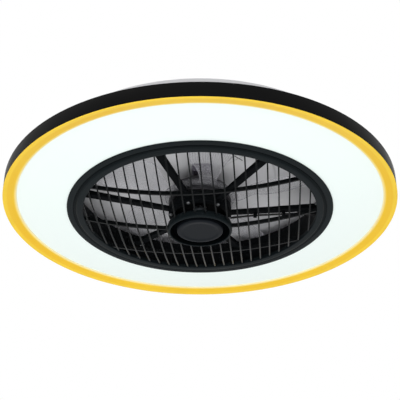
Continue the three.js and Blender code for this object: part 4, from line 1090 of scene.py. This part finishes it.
@dataclass
class LightRing:
    """Tray, hoop, accent ring, shade and light boards."""

    outer: float = 290.0
    wall: float = 3.0
    hoop_flange: float = 28.0
    hoop_top: float = -46.0
    upstand: float = 2.7
    hoop_bottom: float = -65.5
    sheet: float = 1.2
    tray_bore: float = 190.0
    tray_top: float = -47.5
    tray_lip: float = -54.0
    accent_bore: float = 270.4
    accent_bottom: float = -67.0
    accent_edge: float = 1.4
    accent_rise: float = 5.0
    accent_lip: float = 1.4
    spigot_wall: float = 2.7
    spigot_rise: float = 6.2
    shade_bore: float = 192.3
    shade_brim: float = -60.3
    shade_drop: float = 6.6
    shade_bulge: float = 0.25
    shade_wall: float = 2.5
    shade_steps: int = 18

    def build(self) -> None:
        """Make every piece of the light ring."""
        self.tray()
        self.hoop()
        self.accent()
        self.shade()
        dress(BOARD, *numbered("led_board", 3))
        Screw().upright("tray_screws", *numbered("tray_screw", 3))

    def tray(self) -> None:
        """Make the pressed tray that carries the boards."""
        r = self.outer - self.wall - GAP
        under = self.tray_top - self.sheet
        outline = [
            (self.tray_bore, self.tray_top, 0.3), (r, self.tray_top, 1.2), (r, self.tray_lip, 0.3),
            (r - self.sheet, self.tray_lip, 0.3), (r - self.sheet, under, 0.8),
            (self.tray_bore, under, 0.3),
        ]
        piece(lathe("tray", outline), WHITE_COAT, Body.HOUSING, "led_tray")

    def hoop(self) -> None:
        """Make the black outer hoop with its flange over the tray."""
        bore = self.outer - self.hoop_flange
        inner = self.outer - self.wall
        under = self.hoop_top - self.sheet
        top = self.hoop_top + self.upstand
        outline = [
            (bore, under, 0.2), (inner, under, 0.4), (inner, self.hoop_bottom, 0.4),
            (self.outer, self.hoop_bottom, 0.5), (self.outer, top, 1.0), (inner, top, 0.8),
            (inner, self.hoop_top, 0.3), (bore, self.hoop_top, 0.3),
        ]
        piece(lathe("hoop", outline), BLACK_PAINT, Body.HOUSING, "rim_hoop")

    def accent(self) -> None:
        """Make the coloured ring with its lip inwards and its spigot up into the hoop."""
        top = self.hoop_bottom - GAP
        spigot = self.outer - self.wall - GAP
        inside = spigot - self.spigot_wall
        lip = self.accent_bottom + self.accent_rise
        ledge, crown = lip + self.accent_lip, lip + self.spigot_rise
        outline = [
            (spigot, top, 0.0), (self.outer, top, 0.3), (self.outer, self.accent_bottom, 1.0),
            (self.outer - self.accent_edge, self.accent_bottom, 0.8),
            (self.accent_bore, lip, 0.9), (self.accent_bore, ledge, 0.4), (inside, ledge, 0.0),
            (inside, crown, 0.3), (spigot, crown, 0.3),
        ]
        piece(lathe("accent", outline), YELLOW, Body.HOUSING, "accent_ring")

    def shade(self) -> None:
        """Make the opal shade: a level brim, then a gentle bulge down to its hole."""
        skin = []
        for i in range(self.shade_steps + 1):
            t = i / self.shade_steps
            fall = (1 + self.shade_bulge) * t - self.shade_bulge * t * t
            radius = self.accent_bore + (self.shade_bore - self.accent_bore) * t
            skin.append((radius, self.shade_brim - self.shade_drop * fall))
        brim = self.outer - self.wall - GAP - self.spigot_wall - GAP
        upper = [(r, z + self.shade_wall, 0.0) for r, z in reversed(skin)]
        outline = [(brim, self.shade_brim, 0.3), *[(r, z, 0.0) for r, z in skin], *upper,
                   (brim, self.shade_brim + self.shade_wall, 0.3)]
        piece(lathe("opal_shade", outline), OPAL, Body.HOUSING, "shade")


# ---------------------------------------------------------------- duct and bezel


@dataclass
class DuctAndBezel:
    """Flared air duct, the ring that closes it below, and their screws."""

    bore: float = 176.0
    flare: float = 11.0
    wall: float = 2.0
    bottom: float = -64.3
    top: float = -20.0
    foot: float = 190.1
    foot_wall: float = 1.3
    flange: float = 200.8
    flange_wall: float = 2.0
    flange_top: float = -49.0
    bezel_bore: float = 187.8
    bezel_radius: float = 197.5
    bezel_bottom: float = -68.5
    bezel_top: float = -67.2
    ledge_bore: float = 178.4
    ledge_recess: float = 0.9
    ledge_wall: float = 1.2
    sleeve_wall: float = 1.6
    lip_reach: float = 1.8
    lip_wall: float = 1.2
    lug_reach: float = 184.9
    notch_angle: float = 54.0
    notch_span: float = 12.0

    def bore_at(self, z: float) -> float:
        """Return the duct's bore at a height."""
        return self.bore + self.flare * (z - self.bottom) / (self.top - self.bottom)

    def build(self) -> None:
        """Make the duct, the bezel ring and the screws between duct and tray."""
        self.duct()
        self.bezel()
        Screw().upright("duct_screws", *numbered("duct_screw", 3))

    def duct(self) -> None:
        """Make the duct with its foot and its flange."""
        def outside(z: float) -> float:
            """Return the radius of the duct's outer face at a height."""
            return self.bore_at(z) + self.wall

        foot_top, under = self.bottom + self.foot_wall, self.flange_top - self.flange_wall
        outline = [
            (self.bore, self.bottom, 0.4), (self.foot, self.bottom, 0.3),
            (self.foot, foot_top, 0.3), (outside(foot_top), foot_top, 0.5),
            (outside(under), under, 0.8), (self.flange, under, 0.5),
            (self.flange, self.flange_top, 0.4), (outside(self.flange_top), self.flange_top, 0.8),
            (outside(self.top), self.top, 0.9), (self.bore_at(self.top), self.top, 0.9),
        ]
        piece(lathe("duct", outline), DARK_PLASTIC, Body.HOUSING, "air_duct")

    def bezel(self) -> None:
        """Make the bezel ring with its ledge, notched for the grille's lugs."""
        ledge_bottom = self.bezel_bottom + self.ledge_recess
        ledge_top = ledge_bottom + self.ledge_wall
        lip_bottom = self.bottom + self.foot_wall + GAP
        lip_top = lip_bottom + self.lip_wall
        sleeve, lip = self.foot + GAP, self.foot - self.lip_reach
        outside = sleeve + self.sleeve_wall
        outline = [
            (self.bezel_bore, self.bezel_bottom, 0.5), (self.bezel_radius, self.bezel_bottom, 0.9),
            (self.bezel_radius, self.bezel_top, 0.2), (outside, self.bezel_top, 0.0),
            (outside, lip_top, 0.3), (lip, lip_top, 0.3), (lip, lip_bottom, 0.3),
            (sleeve, lip_bottom, 0.0), (sleeve, ledge_top, 0.0), (self.ledge_bore, ledge_top, 0.3),
            (self.ledge_bore, ledge_bottom, 0.3), (self.bezel_bore, ledge_bottom, 0.0),
        ]
        width = 2 * self.ledge_bore * math.sin(math.radians(self.notch_span / 2))
        notch = slab("notch", (self.lug_reach - self.ledge_bore + 1, width, 4.0),
                     ((self.lug_reach + self.ledge_bore - 1) / 2, 0, ledge_bottom + 0.6), 1.0, 0.0)
        notches = around("notches", notch, 4, self.notch_angle, BLACK_PLASTIC)
        ring = carved("bezel", lathe("bezel_body", outline), [notches], BLACK_PLASTIC)
        piece(ring, BLACK_PLASTIC, Body.HOUSING, "bezel_ring")


# ---------------------------------------------------------------- grille


@dataclass(frozen=True)
class Strips:
    """A row of parallel strips across the dome, in millimetres and degrees."""

    count: int
    pitch: float
    offset: float  # of the middle strip from the axis
    width: float
    depth: float
    lift: float  # above the dome's middle
    reach: float  # radius at which the strips end
    turn: float  # from Y

    @property
    def first(self) -> float:
        """Return the first strip's place across the row."""
        return self.offset - self.count // 2 * self.pitch


@dataclass
class GrilleCover:
    """Domed grille of parallel bars and three cross ribs between a rim and a hub."""

    radius: float = 187.2
    rim_bore: float = 173.5
    rim_upstand: float = 177.9
    rim_bottom: float = -70.5
    rim_top: float = -67.9
    upstand_top: float = -64.6
    pitch: float = 15.06
    offset: float = -3.2
    bars: int = 23
    bar_width: float = 2.2
    bar_depth: float = 4.0
    turn: float = -4.5
    rib_width: float = 3.0
    rib_depth: float = 6.5
    rib_lift: float = 1.95
    ribs: int = 3
    rib_every: int = 6
    rib_bite: float = 0.6
    strand_points: int = 15
    nose: float = 0.36  # share of a strip's width at its lower edge
    nose_corner: float = 0.25
    dome_edge: float = -66.7
    dome_height: float = 22.7
    bar_reach: float = 175.7
    hub_radius: float = 47.6
    hub_bore: float = 40.0
    hub_top: float = -86.0
    hub_bottom: float = -97.0
    web_wall: float = 2.7
    cap_radius: float = 34.2
    cap_face: float = -96.5
    cap_flange: float = 3.0
    dish: float = 0.6
    step_width: float = 3.0
    step_rise: float = 0.8
    lug: Point = (8.8, 1.5)
    lug_angle: float = 40.0
    lug_half_span: float = 5.0

    def build(self) -> None:
        """Make the grille and its cap."""
        bars = self.strips("bars", Strips(
            self.bars, self.pitch, self.offset, self.bar_width, self.bar_depth, 0.0,
            self.bar_reach, self.turn,
        ))
        ribs = self.strips("ribs", Strips(
            self.ribs, self.rib_every * self.pitch, 0.0, self.rib_width, self.rib_depth,
            self.rib_lift, self.rim_bore + self.rib_bite, self.turn + 90,
        ))
        piece(joined("grille_web", [bars, ribs]), SHADED_BAR_PLASTIC, Body.COVER, "grille")
        piece(joined("grille_frame", [self.rim(), self.hub(), self.lugs()]), BLACK_PLASTIC,
              Body.COVER)
        self.cap()

    def strips(self, name: str, row: Strips) -> bpy.types.Mesh:
        """Make parallel strips that follow the dome, by Geometry Nodes.

        Args:
            name: the mesh's name.
            row: their number, sizes and places.

        Returns:
            One mesh with all the strips.
        """
        tree = ShapeTree(f"{name}_tree", {
            "Count": row.count, "Pitch": row.pitch * MM, "First": row.first * MM,
            "Width": row.width * MM, "Depth": row.depth * MM, "Lift": row.lift * MM,
            "Reach": row.reach * MM, "Hub": (self.hub_bore + self.hub_radius) / 2 * MM,
            "Dome reach": self.bar_reach * MM, "Dome hub": self.hub_radius * MM,
            "Dome edge": self.dome_edge * MM, "Dome height": self.dome_height * MM,
            "Turn": math.radians(row.turn), "Corner": self.nose_corner * MM,
            "Nose": self.nose * row.width * MM,
        })
        strands = self.strands(tree)
        both = tree.add("GeometryNodeJoinGeometry")
        for side in (1.0, -1.0):
            tree.tree.links.new(self.bent(tree, strands, side), both.inputs[0])
        spin = tree.add("ShaderNodeCombineXYZ", {"Z": tree.size("Turn")})
        moved = tree.add("GeometryNodeTransform", {
            "Geometry": self.swept(tree, both.outputs[0]), "Rotation": spin.outputs[0],
        })
        tree.finish(moved.outputs[0], SHADED_BAR_PLASTIC.material())
        mesh = tree.grow(name)
        mesh.shade_smooth()
        mesh.set_sharp_from_angle(angle=math.radians(Shading.CRISP.value))
        return mesh

    def strands(self, tree: ShapeTree) -> bpy.types.NodeSocket:
        """Return a row of straight strands of unit length, one for each strip."""
        start = tree.add("ShaderNodeCombineXYZ", {"X": tree.size("First")})
        step = tree.add("ShaderNodeCombineXYZ", {"X": tree.size("Pitch")})
        line = tree.add("GeometryNodeMeshLine", {
            "Count": tree.size("Count"), "Start Location": start.outputs[0],
            "Offset": step.outputs[0],
        })
        strand = tree.add("GeometryNodeCurvePrimitiveLine", {
            "Start": (0.0, 0.0, 0.0), "End": (0.0, 1.0, 0.0),
        })
        strand = tree.add("GeometryNodeResampleCurve", {
            "Curve": strand.outputs[0], "Count": self.strand_points,
        })
        copies = tree.add("GeometryNodeInstanceOnPoints", {
            "Points": line.outputs[0], "Instance": strand.outputs[0],
        })
        return tree.add("GeometryNodeRealizeInstances", {"Geometry": copies.outputs[0]}).outputs[0]

    def swept(self, tree: ShapeTree, curves: bpy.types.NodeSocket) -> bpy.types.NodeSocket:
        """Return the curves as bars with a section that narrows downwards."""
        upright = tree.add("GeometryNodeSetCurveNormal", {"Curve": curves}, mode="Z_UP")
        section = tree.add("GeometryNodeCurvePrimitiveQuadrilateral", {
            "Bottom Width": tree.size("Nose"), "Top Width": tree.size("Width"),
            "Height": tree.size("Depth"), "Offset": 0.0,
        }, mode="TRAPEZOID")
        section = tree.add("GeometryNodeFilletCurve", {
            "Curve": section.outputs[0], "Radius": tree.size("Corner"), "Count": 2,
        }, mode="POLY")
        solid = tree.add("GeometryNodeCurveToMesh", {
            "Curve": upright.outputs[0], "Profile Curve": section.outputs[0], "Fill Caps": True,
        })
        return solid.outputs[0]

    def bent(self, tree: ShapeTree, strands: bpy.types.NodeSocket, side: float
             ) -> bpy.types.NodeSocket:
        """Bend straight strands of unit length onto the dome.

        Args:
            tree: the tree that the nodes go into.
            strands: the straight strands.
            side: 1 for the +Y half of the dome, -1 for the other.

        Returns:
            The bent strands.
        """
        place = tree.add("GeometryNodeInputPosition")
        x, share, _ = tree.add("ShaderNodeSeparateXYZ", {0: place.outputs[0]}).outputs
        x, share = Field(tree, x), Field(tree, share)
        reach_to, hub = tree.size("Reach"), tree.size("Hub")
        end = (reach_to * reach_to - x * x).root()
        start = (hub * hub - x * x).root()
        y = (start + share * (end - start)) * side
        radius_squared = x * x + y * y
        dome_reach, dome_hub = tree.size("Dome reach"), tree.size("Dome hub")
        rest = tree.maths("SUBTRACT", 1.0, radius_squared / (dome_reach * dome_reach))
        whole = tree.maths("SUBTRACT", 1.0, dome_hub * dome_hub / (dome_reach * dome_reach))
        fall = tree.maths("MINIMUM", rest / whole, 1.0)
        z = tree.size("Dome edge") + tree.size("Lift") - fall * tree.size("Dome height")
        point = tree.add("ShaderNodeCombineXYZ", {"X": x, "Y": y, "Z": z})
        moved = tree.add("GeometryNodeSetPosition", {
            "Geometry": strands, "Position": point.outputs[0],
        })
        return moved.outputs[0]

    def rim(self) -> bpy.types.Mesh:
        """Make the grille's outer ring, with a sunk groove round it."""
        sunk = self.rim_top - self.step_rise
        outline = [
            (self.rim_bore, self.rim_bottom, 1.0), (self.radius - 4.2, self.rim_bottom, 1.2),
            (self.radius - self.step_width, sunk, 0.4), (self.radius, sunk, 0.2),
            (self.radius, self.rim_top, 0.2), (self.rim_upstand, self.rim_top, 0.0),
            (self.rim_upstand, self.upstand_top, 0.4), (self.rim_bore, self.upstand_top, 0.4),
        ]
        return lathe("rim", outline)

    def hub(self) -> bpy.types.Mesh:
        """Make the ring round the cap, with the web behind it."""
        web = self.hub_top - self.web_wall
        bore, r, bottom = self.hub_bore, self.hub_radius, self.hub_bottom
        outline = [
            (bore + 0.6, bottom + 3.4, 0.6), (bore + 4.4, bottom + 0.3, 0.9),
            (r - 1.6, bottom, 0.9), (r, bottom + 1.6, 0.9), (r, self.hub_top, 0.5),
            (bore - 6, self.hub_top, 0.4), (bore - 6, web, 0.3), (bore + 0.6, web, 0.0),
        ]
        return lathe("hub", outline, HUB_STEPS * 2)

    def lugs(self) -> bpy.types.Mesh:
        """Make the four lugs that lock behind the bezel's ledge."""
        length, height = self.lug
        width = 2 * self.rim_upstand * math.sin(math.radians(self.lug_half_span))
        place = (self.rim_upstand + 1.5, 0, self.upstand_top - 0.76)
        lug = slab("lug", (length, width, height), place, 1.0, 0.3)
        return around("lugs", lug, 4, self.lug_angle, BLACK_PLASTIC)

    def cap(self) -> None:
        """Make the plain cap that closes the hub, with its soft raised edge."""
        top = self.hub_top - GAP - self.web_wall
        step = top - self.cap_flange
        face, r, brim = self.cap_face, self.cap_radius, self.hub_bore - GAP
        dish = face + self.dish
        outline = [
            (0.0, dish, 0.0), (r - 9.0, dish, 4.0), (r - 6.0, face, 1.6), (r, face, 3.6),
            (r, step, 0.4), (brim, step, 0.2), (brim, top, 0.2), (0.0, top, 0.0),
        ]
        piece(lathe("hub_cap", outline, HUB_STEPS * 2), CAP_PLASTIC, Body.COVER, "grille_cap")


# ---------------------------------------------------------------- spider and motor


@dataclass
class Spider:
    """Six arms from the duct's wall to the ring under the motor."""

    arms: int = 6
    first: float = 7.0
    ring_bore: float = 38.0
    ring_radius: float = 47.0
    ring_top: float = -56.8
    ring_bottom: float = -69.2
    root_z: float = -60.1
    end_z: float = -41.4
    arm_corner: float = 1.4
    root_size: Point = (9.5, 5.6)
    end_size: Point = (12.0, 8.0)
    pad: Triple = (3.0, 27.0, 12.0)
    screw_side: float = -9.7
    screw_length: float = 6.5
    half_head: float = 1.05
    clips: Point = (84.0, 128.0)
    clip_half: float = 2.9
    clip_length: float = 5.0
    lead_side: float = 1.5
    lead_way: float = 2.3

    def build(self, duct: DuctAndBezel) -> None:
        """Make the spider against a duct."""
        end = duct.bore_at(self.end_z) - GAP - self.pad[0] / 2
        arm = joined("arm", [self.arm(end), self.foot(duct)])
        arms = around("arms", arm, self.arms, self.first, DARK_PLASTIC)
        clips = [turned(self.clip(radius, end), self.first) for radius in self.clips]
        piece(joined("spider_frame", [self.ring(), arms, *clips]), DARK_PLASTIC, Body.HOUSING,
              "spider")
        self.screws(duct)
        Screw(finish=BLACK_STEEL).upright("mount_screws", *numbered("mount_screw", 6))

    def ring(self) -> bpy.types.Mesh:
        """Make the ring under the motor."""
        outline = [
            (self.ring_bore, self.ring_bottom, 0.8), (self.ring_radius, self.ring_bottom, 1.6),
            (self.ring_radius, self.ring_top, 0.4), (self.ring_bore, self.ring_top, 0.4),
        ]
        return lathe("ring", outline, HUB_STEPS)

    def arm(self, end: float) -> bpy.types.Mesh:
        """Make one tapered arm along +X."""
        rings = []
        for x, z, (width, height) in ((self.ring_radius - 2, self.root_z, self.root_size),
                                      (end, self.end_z, self.end_size)):
            half = (width / 2, height / 2)
            corners = [(side * half[0], up * half[1], self.arm_corner)
                       for side, up in ((-1, -1), (1, -1), (1, 1), (-1, 1))]
            rings.append([(x, across, z + up) for across, up in rounded(corners)])
        return lofted("arm_bar", rings)

    def foot(self, duct: DuctAndBezel) -> bpy.types.Mesh:
        """Make the curved foot that lies on the duct's wall."""
        thick, width, tall = self.pad
        rings = []
        for i in range(13):
            side = width * (i / 12 - 0.5)
            section = []
            for z, depth in ((self.end_z - tall / 2, thick), (self.end_z - tall / 2, 0),
                             (self.end_z + tall / 2, 0), (self.end_z + tall / 2, thick)):
                radius = duct.bore_at(z) - GAP - depth
                section.append((math.sqrt(radius ** 2 - side ** 2), side, z))
            rings.append(section)
        return lofted("arm_foot", rings, Shading.CRISP)

    def clip(self, radius: float, end: float) -> bpy.types.Mesh:
        """Make one saddle that holds the motor's lead under its arm."""
        share = (radius - self.ring_radius) / (end - self.ring_radius)
        arm_z = self.root_z + share * (self.end_z - self.root_z)
        cable_z = MotorLead().height_at(radius)
        half = self.clip_half
        body = slab("clip", (self.clip_length, 2 * half, arm_z - cable_z + half),
                    (radius, self.lead_side, (arm_z + cable_z - half) / 2), 0.8, 0.4)
        spot = Matrix.Translation((radius * MM, self.lead_side * MM, cable_z * MM))
        way = placed(peg(self.lead_way, -8, 8), spot @ Matrix.Rotation(math.pi / 2, 4, "Y"))
        return carved("clip", body, [way], DARK_PLASTIC)

    def screws(self, duct: DuctAndBezel) -> None:
        """Set the screws that hold the feet to the duct's wall."""
        seat = math.sqrt((duct.bore_at(self.end_z) - GAP - self.pad[0]) ** 2
                         - self.screw_side ** 2)
        lean = math.atan2(duct.flare, duct.top - duct.bottom)
        seats, axes = [], []
        back = -(GAP + self.half_head)
        for i in range(self.arms):
            spin = Matrix.Rotation(math.radians(self.first + 360 * i / self.arms), 3, "Z")
            axis = Vector((math.cos(lean), 0, -math.sin(lean)))
            seats.append(spin @ (Vector((seat, self.screw_side, self.end_z)) + axis * back))
            axes.append(spin @ axis)
        Screw(finish=BLACK_STEEL).row("arm_screws", seats, axes, self.screw_length,
                                      *numbered("spider_screw", self.arms))


@dataclass
class Motor:
    """Outer-rotor motor on a fixed hollow shaft."""

    radius: float = 44.5
    sheet: float = 2.0
    flange: float = 47.0
    flange_depth: float = 3.5
    boss: float = 14.0
    boss_bore: float = 11.3
    boss_depth: float = 6.3
    groove: Point = (20.0, 32.0)
    groove_depth: float = 0.5
    groove_slope: float = 2.0
    shaft_hole: float = 8.0
    plate_edge: float = 1.5
    plate_slope: float = 5.0

    def build(self) -> None:
        """Make the motor's outer pieces and dress the inner ones."""
        self.mount()
        self.can()
        self.cover()
        dress(ZINC, "motor_shaft", "shaft_nut", "lower_bearing_inner", "upper_bearing_inner",
              "lower_bearing_outer", "upper_bearing_outer")
        dress(LAMINATION, "stator_core")
        dress(COPPER, "stator_windings")
        dress(FERRITE, "magnet_ring")

    def mount(self) -> None:
        """Make the plate that the shaft stands on."""
        bottom, top = low("motor_mount"), high("motor_mount")
        r = reach("motor_mount")
        outline = [
            (self.shaft_hole, bottom, 0.3), (r, bottom, 0.3), (r, bottom + self.plate_edge, 0.6),
            (r - self.plate_slope, top, 1.0), (self.shaft_hole, top, 0.3),
        ]
        piece(lathe("mount_plate", outline, HUB_STEPS), DARK_PLASTIC, Body.HOUSING, "motor_mount")

    def can(self) -> None:
        """Make the turning can with its roof, its boss and its foot."""
        top, bottom = high("rotor_can"), low("rotor_can")
        roof, r, bore = top - self.sheet, self.radius, self.boss_bore
        inside, ledge = r - self.sheet, bottom + self.flange_depth
        low_groove, low_boss = top - self.groove_depth, roof - self.boss_depth
        start, end = self.groove
        outline = [
            (0.0, top, 0.0), (start, top, 1.0), (start + self.groove_slope, low_groove, 1.0),
            (end - self.groove_slope, low_groove, 1.0), (end, top, 1.0), (r, top, 3.0),
            (r, ledge, 0.6), (self.flange, ledge, 0.6), (self.flange, bottom, 0.3),
            (inside, bottom, 0.2), (inside, roof, 0.6), (self.boss, roof, 0.3),
            (self.boss, low_boss, 0.3), (bore, low_boss, 0.2), (bore, roof, 0.0), (0.0, roof, 0.0),
        ]
        piece(lathe("can", outline, HUB_STEPS * 2), ROTOR_STEEL, Body.ROTOR, "rotor_can")

    def cover(self) -> None:
        """Make the plate that closes the can below."""
        bottom = low("rotor_cover")
        top, crown = bottom + self.sheet, high("rotor_cover")
        outline = [
            (self.boss_bore, bottom, 0.3), (self.flange, bottom, 0.6), (self.flange, top, 0.4),
            (self.boss, top, 0.5), (self.boss, crown, 0.3), (self.boss_bore, crown, 0.3),
        ]
        piece(lathe("can_cover", outline, HUB_STEPS * 2), ROTOR_STEEL, Body.ROTOR, "rotor_cover")


@dataclass
class MotorLead:
    """Cable from the hollow shaft, under its arm, to the controller."""

    radius: float = 1.6
    offset: float = 1.5
    root_offset: float = 5.2
    root_z: float = -66.3
    level: float = -54.3
    slope: float = 0.12
    level_from: float = 140.0
    riser: float = 207.0

    def height_at(self, radius: float) -> float:
        """Return the cable's height under its arm."""
        if radius >= self.level_from:
            return self.level
        return min(self.root_z + self.slope * (radius - 47.0), self.level)

    def build(self, spider: Spider, duct: DuctAndBezel) -> None:
        """Lay the cable along its way."""
        side, root, z = self.offset, self.root_offset, self.root_z
        points = [
            (0, 0, -60.5), (0, 0, -63.0), (2.5, root / 5, z + 0.8), (10, root / 2, z),
            (spider.ring_bore - 6, root, z), (spider.ring_bore, root, z),
            (spider.ring_radius, root, z),
            *[(radius, side, self.height_at(radius)) for radius in spider.clips],
            (self.level_from + 12, side, self.level), (duct.bore_at(self.level), side, self.level),
            (self.riser - 12, side, self.level), (self.riser - 2, side, self.level + 1.6),
            (self.riser, side, -48.7), (self.riser, side, -41.5), (self.riser, side, -23.8),
        ]
        cable = tube("lead", points, self.radius)
        piece(turned(cable, spider.first), RUBBER, Body.HOUSING, "motor_lead")


# ---------------------------------------------------------------- impeller


@dataclass
class Impeller:
    """Five clear pitched blades clamped between two rings on the rotor."""

    blades: int = 5
    first: float = -6.0
    bore: float = 44.8
    ring_radius: float = 58.0
    clamp_radius: float = 53.8
    root: float = 47.8
    tab_end: float = 56.0
    rise_end: float = 88.0
    wide_from: float = 108.0
    wide_to: float = 128.0
    narrow_past: float = 6.0
    tip: float = 168.0
    tab_share: float = 0.125
    root_z: float = -39.4
    lift: float = 10.8
    pitch: float = 13.0
    sweep: float = 9.0
    root_chord: float = 26.0
    wide_chord: float = 66.0
    tip_chord: float = 44.0
    tip_round: float = 13.0
    thickness: float = 2.2
    edge_share: float = 0.35  # of the thickness, at the blade's two edges
    stations: int = 34
    across: int = 14

    def build(self) -> None:
        """Make the blades and their rings."""
        blade = self.blade()
        turned_blades = around("blade_set", blade, self.blades, self.first, CLEAR)
        for layer in turned_blades.uv_layers:
            layer.name = "blade"
        piece(turned_blades, CLEAR, Body.ROTOR, *numbered("blade", self.blades))
        for name, node, radius in (("hub_ring", "blade_ring", self.ring_radius),
                                   ("hub_clamp", "blade_clamp", self.clamp_radius)):
            bottom, top = low(node), high(node)
            outline = [(self.bore, bottom, 0.3), (radius, bottom, 0.5), (radius, top, 0.5),
                       (self.bore, top, 0.3)]
            piece(lathe(name, outline, HUB_STEPS * 2), CLEAR_RING, Body.ROTOR, node)

    def along(self, radius: float) -> float:
        """Return how far a radius lies along the blade."""
        if radius < self.tab_end:
            return self.tab_share * (radius - self.root) / (self.tab_end - self.root)
        share = (radius - self.tab_end) / (self.tip - self.tab_end)
        return self.tab_share + (1 - self.tab_share) * share

    def chord(self, radius: float) -> float:
        """Return the blade's width at a radius, rounded in at its tip."""
        opening = blend_between(radius, self.tab_end, self.wide_from)
        closing = blend_between(radius, self.wide_to, self.tip + self.narrow_past)
        wide = self.root_chord + (self.wide_chord - self.root_chord) * opening
        width = wide + (self.tip_chord - wide) * closing
        past = max(0.0, radius - self.tip + self.tip_round) / self.tip_round
        return width - 2 * self.tip_round * (1 - math.sqrt(max(0.0, 1 - past ** 2)))

    def point(self, radius: float, share: float, above: float) -> Triple:
        """Return a point of the blade.

        Args:
            radius: its distance from the axis.
            share: its place across the blade, from -1 to 1.
            above: its height over the blade's middle surface.

        Returns:
            The point, in millimetres.
        """
        working = blend_between(radius, self.tab_end, self.rise_end)
        side = share * self.chord(radius) / 2
        angle = -math.radians(self.sweep) * self.along(radius) ** 2 + side / radius
        slope = math.tan(math.radians(self.pitch))
        z = self.root_z + self.lift * working + side * slope * working + above
        return radius * math.cos(angle), radius * math.sin(angle), z

    def blade(self) -> bpy.types.Mesh:
        """Make one blade on the +X side, with a UV map along and across it."""
        rings = []
        for i in range(self.stations + 1):
            radius = self.root + (self.tip - self.root) * (i / self.stations) ** 0.9
            lower = [(2 * j / self.across - 1, -1) for j in range(self.across + 1)]
            upper = [(share, 1) for share, _ in reversed(lower)]
            ring = []
            for share, side in lower + upper:
                full = math.sqrt(1 - share ** 4)
                thin = self.thickness / 2 * (self.edge_share + (1 - self.edge_share) * full)
                ring.append(self.point(radius, share, side * thin))
            rings.append(ring)
        mesh = lofted("blade", rings)
        layer = mesh.uv_layers.new(name="blade")
        for loop in mesh.loops:
            layer.data[loop.index].uv = self.place_on(mesh.vertices[loop.vertex_index].co / MM)
        return mesh

    def place_on(self, point: Vector) -> Point:
        """Return a point's place along and across the blade."""
        radius = math.hypot(point.x, point.y)
        lean = -math.radians(self.sweep) * self.along(radius) ** 2
        side = (math.atan2(point.y, point.x) - lean) * radius
        return radius / self.tip, 0.5 + side / self.chord(min(radius, self.tip))


# ---------------------------------------------------------------- studio


@dataclass(frozen=True)
class Lamp:
    """A square area lamp that faces the fan."""

    name: str
    place: Triple
    size: float
    power: float

    def build(self) -> None:
        """Add the lamp to the scene."""
        light = bpy.data.lights.new(self.name, "AREA")
        light.energy = self.power
        light.size = self.size
        lamp = bpy.data.objects.new(self.name, light)
        lamp.location = self.place
        lamp.rotation_euler = (-Vector(self.place)).to_track_quat("-Z", "Y").to_euler()
        lamp.visible_camera = False
        bpy.context.scene.collection.objects.link(lamp)


LAMPS = (
    Lamp("key", (-0.9, -1.0, -2.0), 1.5, 30.0),
    Lamp("fill", (1.1, -0.8, -1.8), 1.5, 14.0),
    Lamp("front", (0.2, -2.3, -0.15), 1.0, 18.0),
    Lamp("back", (0.4, 1.9, 0.9), 1.4, 14.0),
    Lamp("top", (-0.6, -0.3, 1.9), 1.6, 16.0),
)


@dataclass
class Studio:
    """Floor, soft lights and the photograph's camera."""

    floor: float = -2.35
    floor_size: float = 14.0
    eye: Triple = (0.0, -1.14516, -0.71172)
    rise: float = 30.329
    lens: float = 79.146
    ambient: float = 0.30
    floor_paleness: float = 0.6

    def build(self) -> None:
        """Set up the view, the light and the floor."""
        scene = bpy.context.scene
        scene.view_settings.view_transform = "Standard"
        camera = bpy.data.objects.new("camera", bpy.data.cameras.new("camera"))
        camera.data.lens = self.lens
        camera.data.sensor_width = 36.0
        camera.location = self.eye
        camera.rotation_euler = Euler((math.radians(90 + self.rise), 0, 0))
        scene.collection.objects.link(camera)
        scene.camera = camera
        self.sky()
        self.ground()
        for lamp in LAMPS:
            lamp.build()

    def sky(self) -> None:
        """Make a world that is white to look at and soft as a light."""
        world = bpy.data.worlds.new("studio")
        world.use_nodes = True
        bpy.context.scene.world = world
        graph = Graph(world.node_tree)
        graph.tree.nodes.clear()
        strength = self.seen(graph) * (1.0 - self.ambient) + self.ambient
        sky = graph.add("ShaderNodeBackground", {
            "Color": (1.0, 1.0, 1.0, 1.0), "Strength": strength,
        })
        graph.add("ShaderNodeOutputWorld", {"Surface": sky.outputs[0]})

    def seen(self, graph: Graph) -> Field:
        """Return 1 for rays that show the background: seen, mirrored or let through."""
        path = graph.add("ShaderNodeLightPath").outputs
        seen = graph.maths("MAXIMUM", path["Is Camera Ray"], path["Is Transmission Ray"])
        return graph.maths("MAXIMUM", seen, path["Is Glossy Ray"])

    def ground(self) -> None:
        """Lay the pale floor, which keeps the fan's shadow."""
        half = self.floor_size / 2
        mesh = bpy.data.meshes.new("floor")
        mesh.from_pydata([(x * half, y * half, self.floor)
                          for x, y in ((-1, -1), (1, -1), (1, 1), (-1, 1))], [], [(0, 1, 2, 3)])
        surface = Surface("floor_paper")
        clouds = surface.span(surface.noise(1.5, 2.0), 0.0, 1.0)
        surface.feed("Base Color", surface.mixed(clouds, (0.80, 0.80, 0.80, 1),
                                                 (0.83, 0.83, 0.83, 1)))
        surface.feed("Roughness", 0.9)
        surface.feed("Emission Color", (1.0, 1.0, 1.0, 1.0))
        surface.feed("Emission Strength", (self.seen(surface) * self.floor_paleness).socket)
        mesh.materials.append(surface.material)
        ground = bpy.data.objects.new("floor", mesh)
        bpy.context.scene.collection.objects.link(ground)


def main() -> None:
    """Build the fan, sub-assembly by sub-assembly, and then the studio."""
    logging.basicConfig(level=logging.INFO, format="%(message)s")
    duct = DuctAndBezel()
    spider = Spider()
    CeilingSide().build()
    LightRing().build()
    duct.build()
    GrilleCover().build()
    spider.build(duct)
    Motor().build()
    MotorLead().build(spider, duct)
    Impeller().build()
    clear_holders()
    Studio().build()


if __name__ == "__main__":
    main()
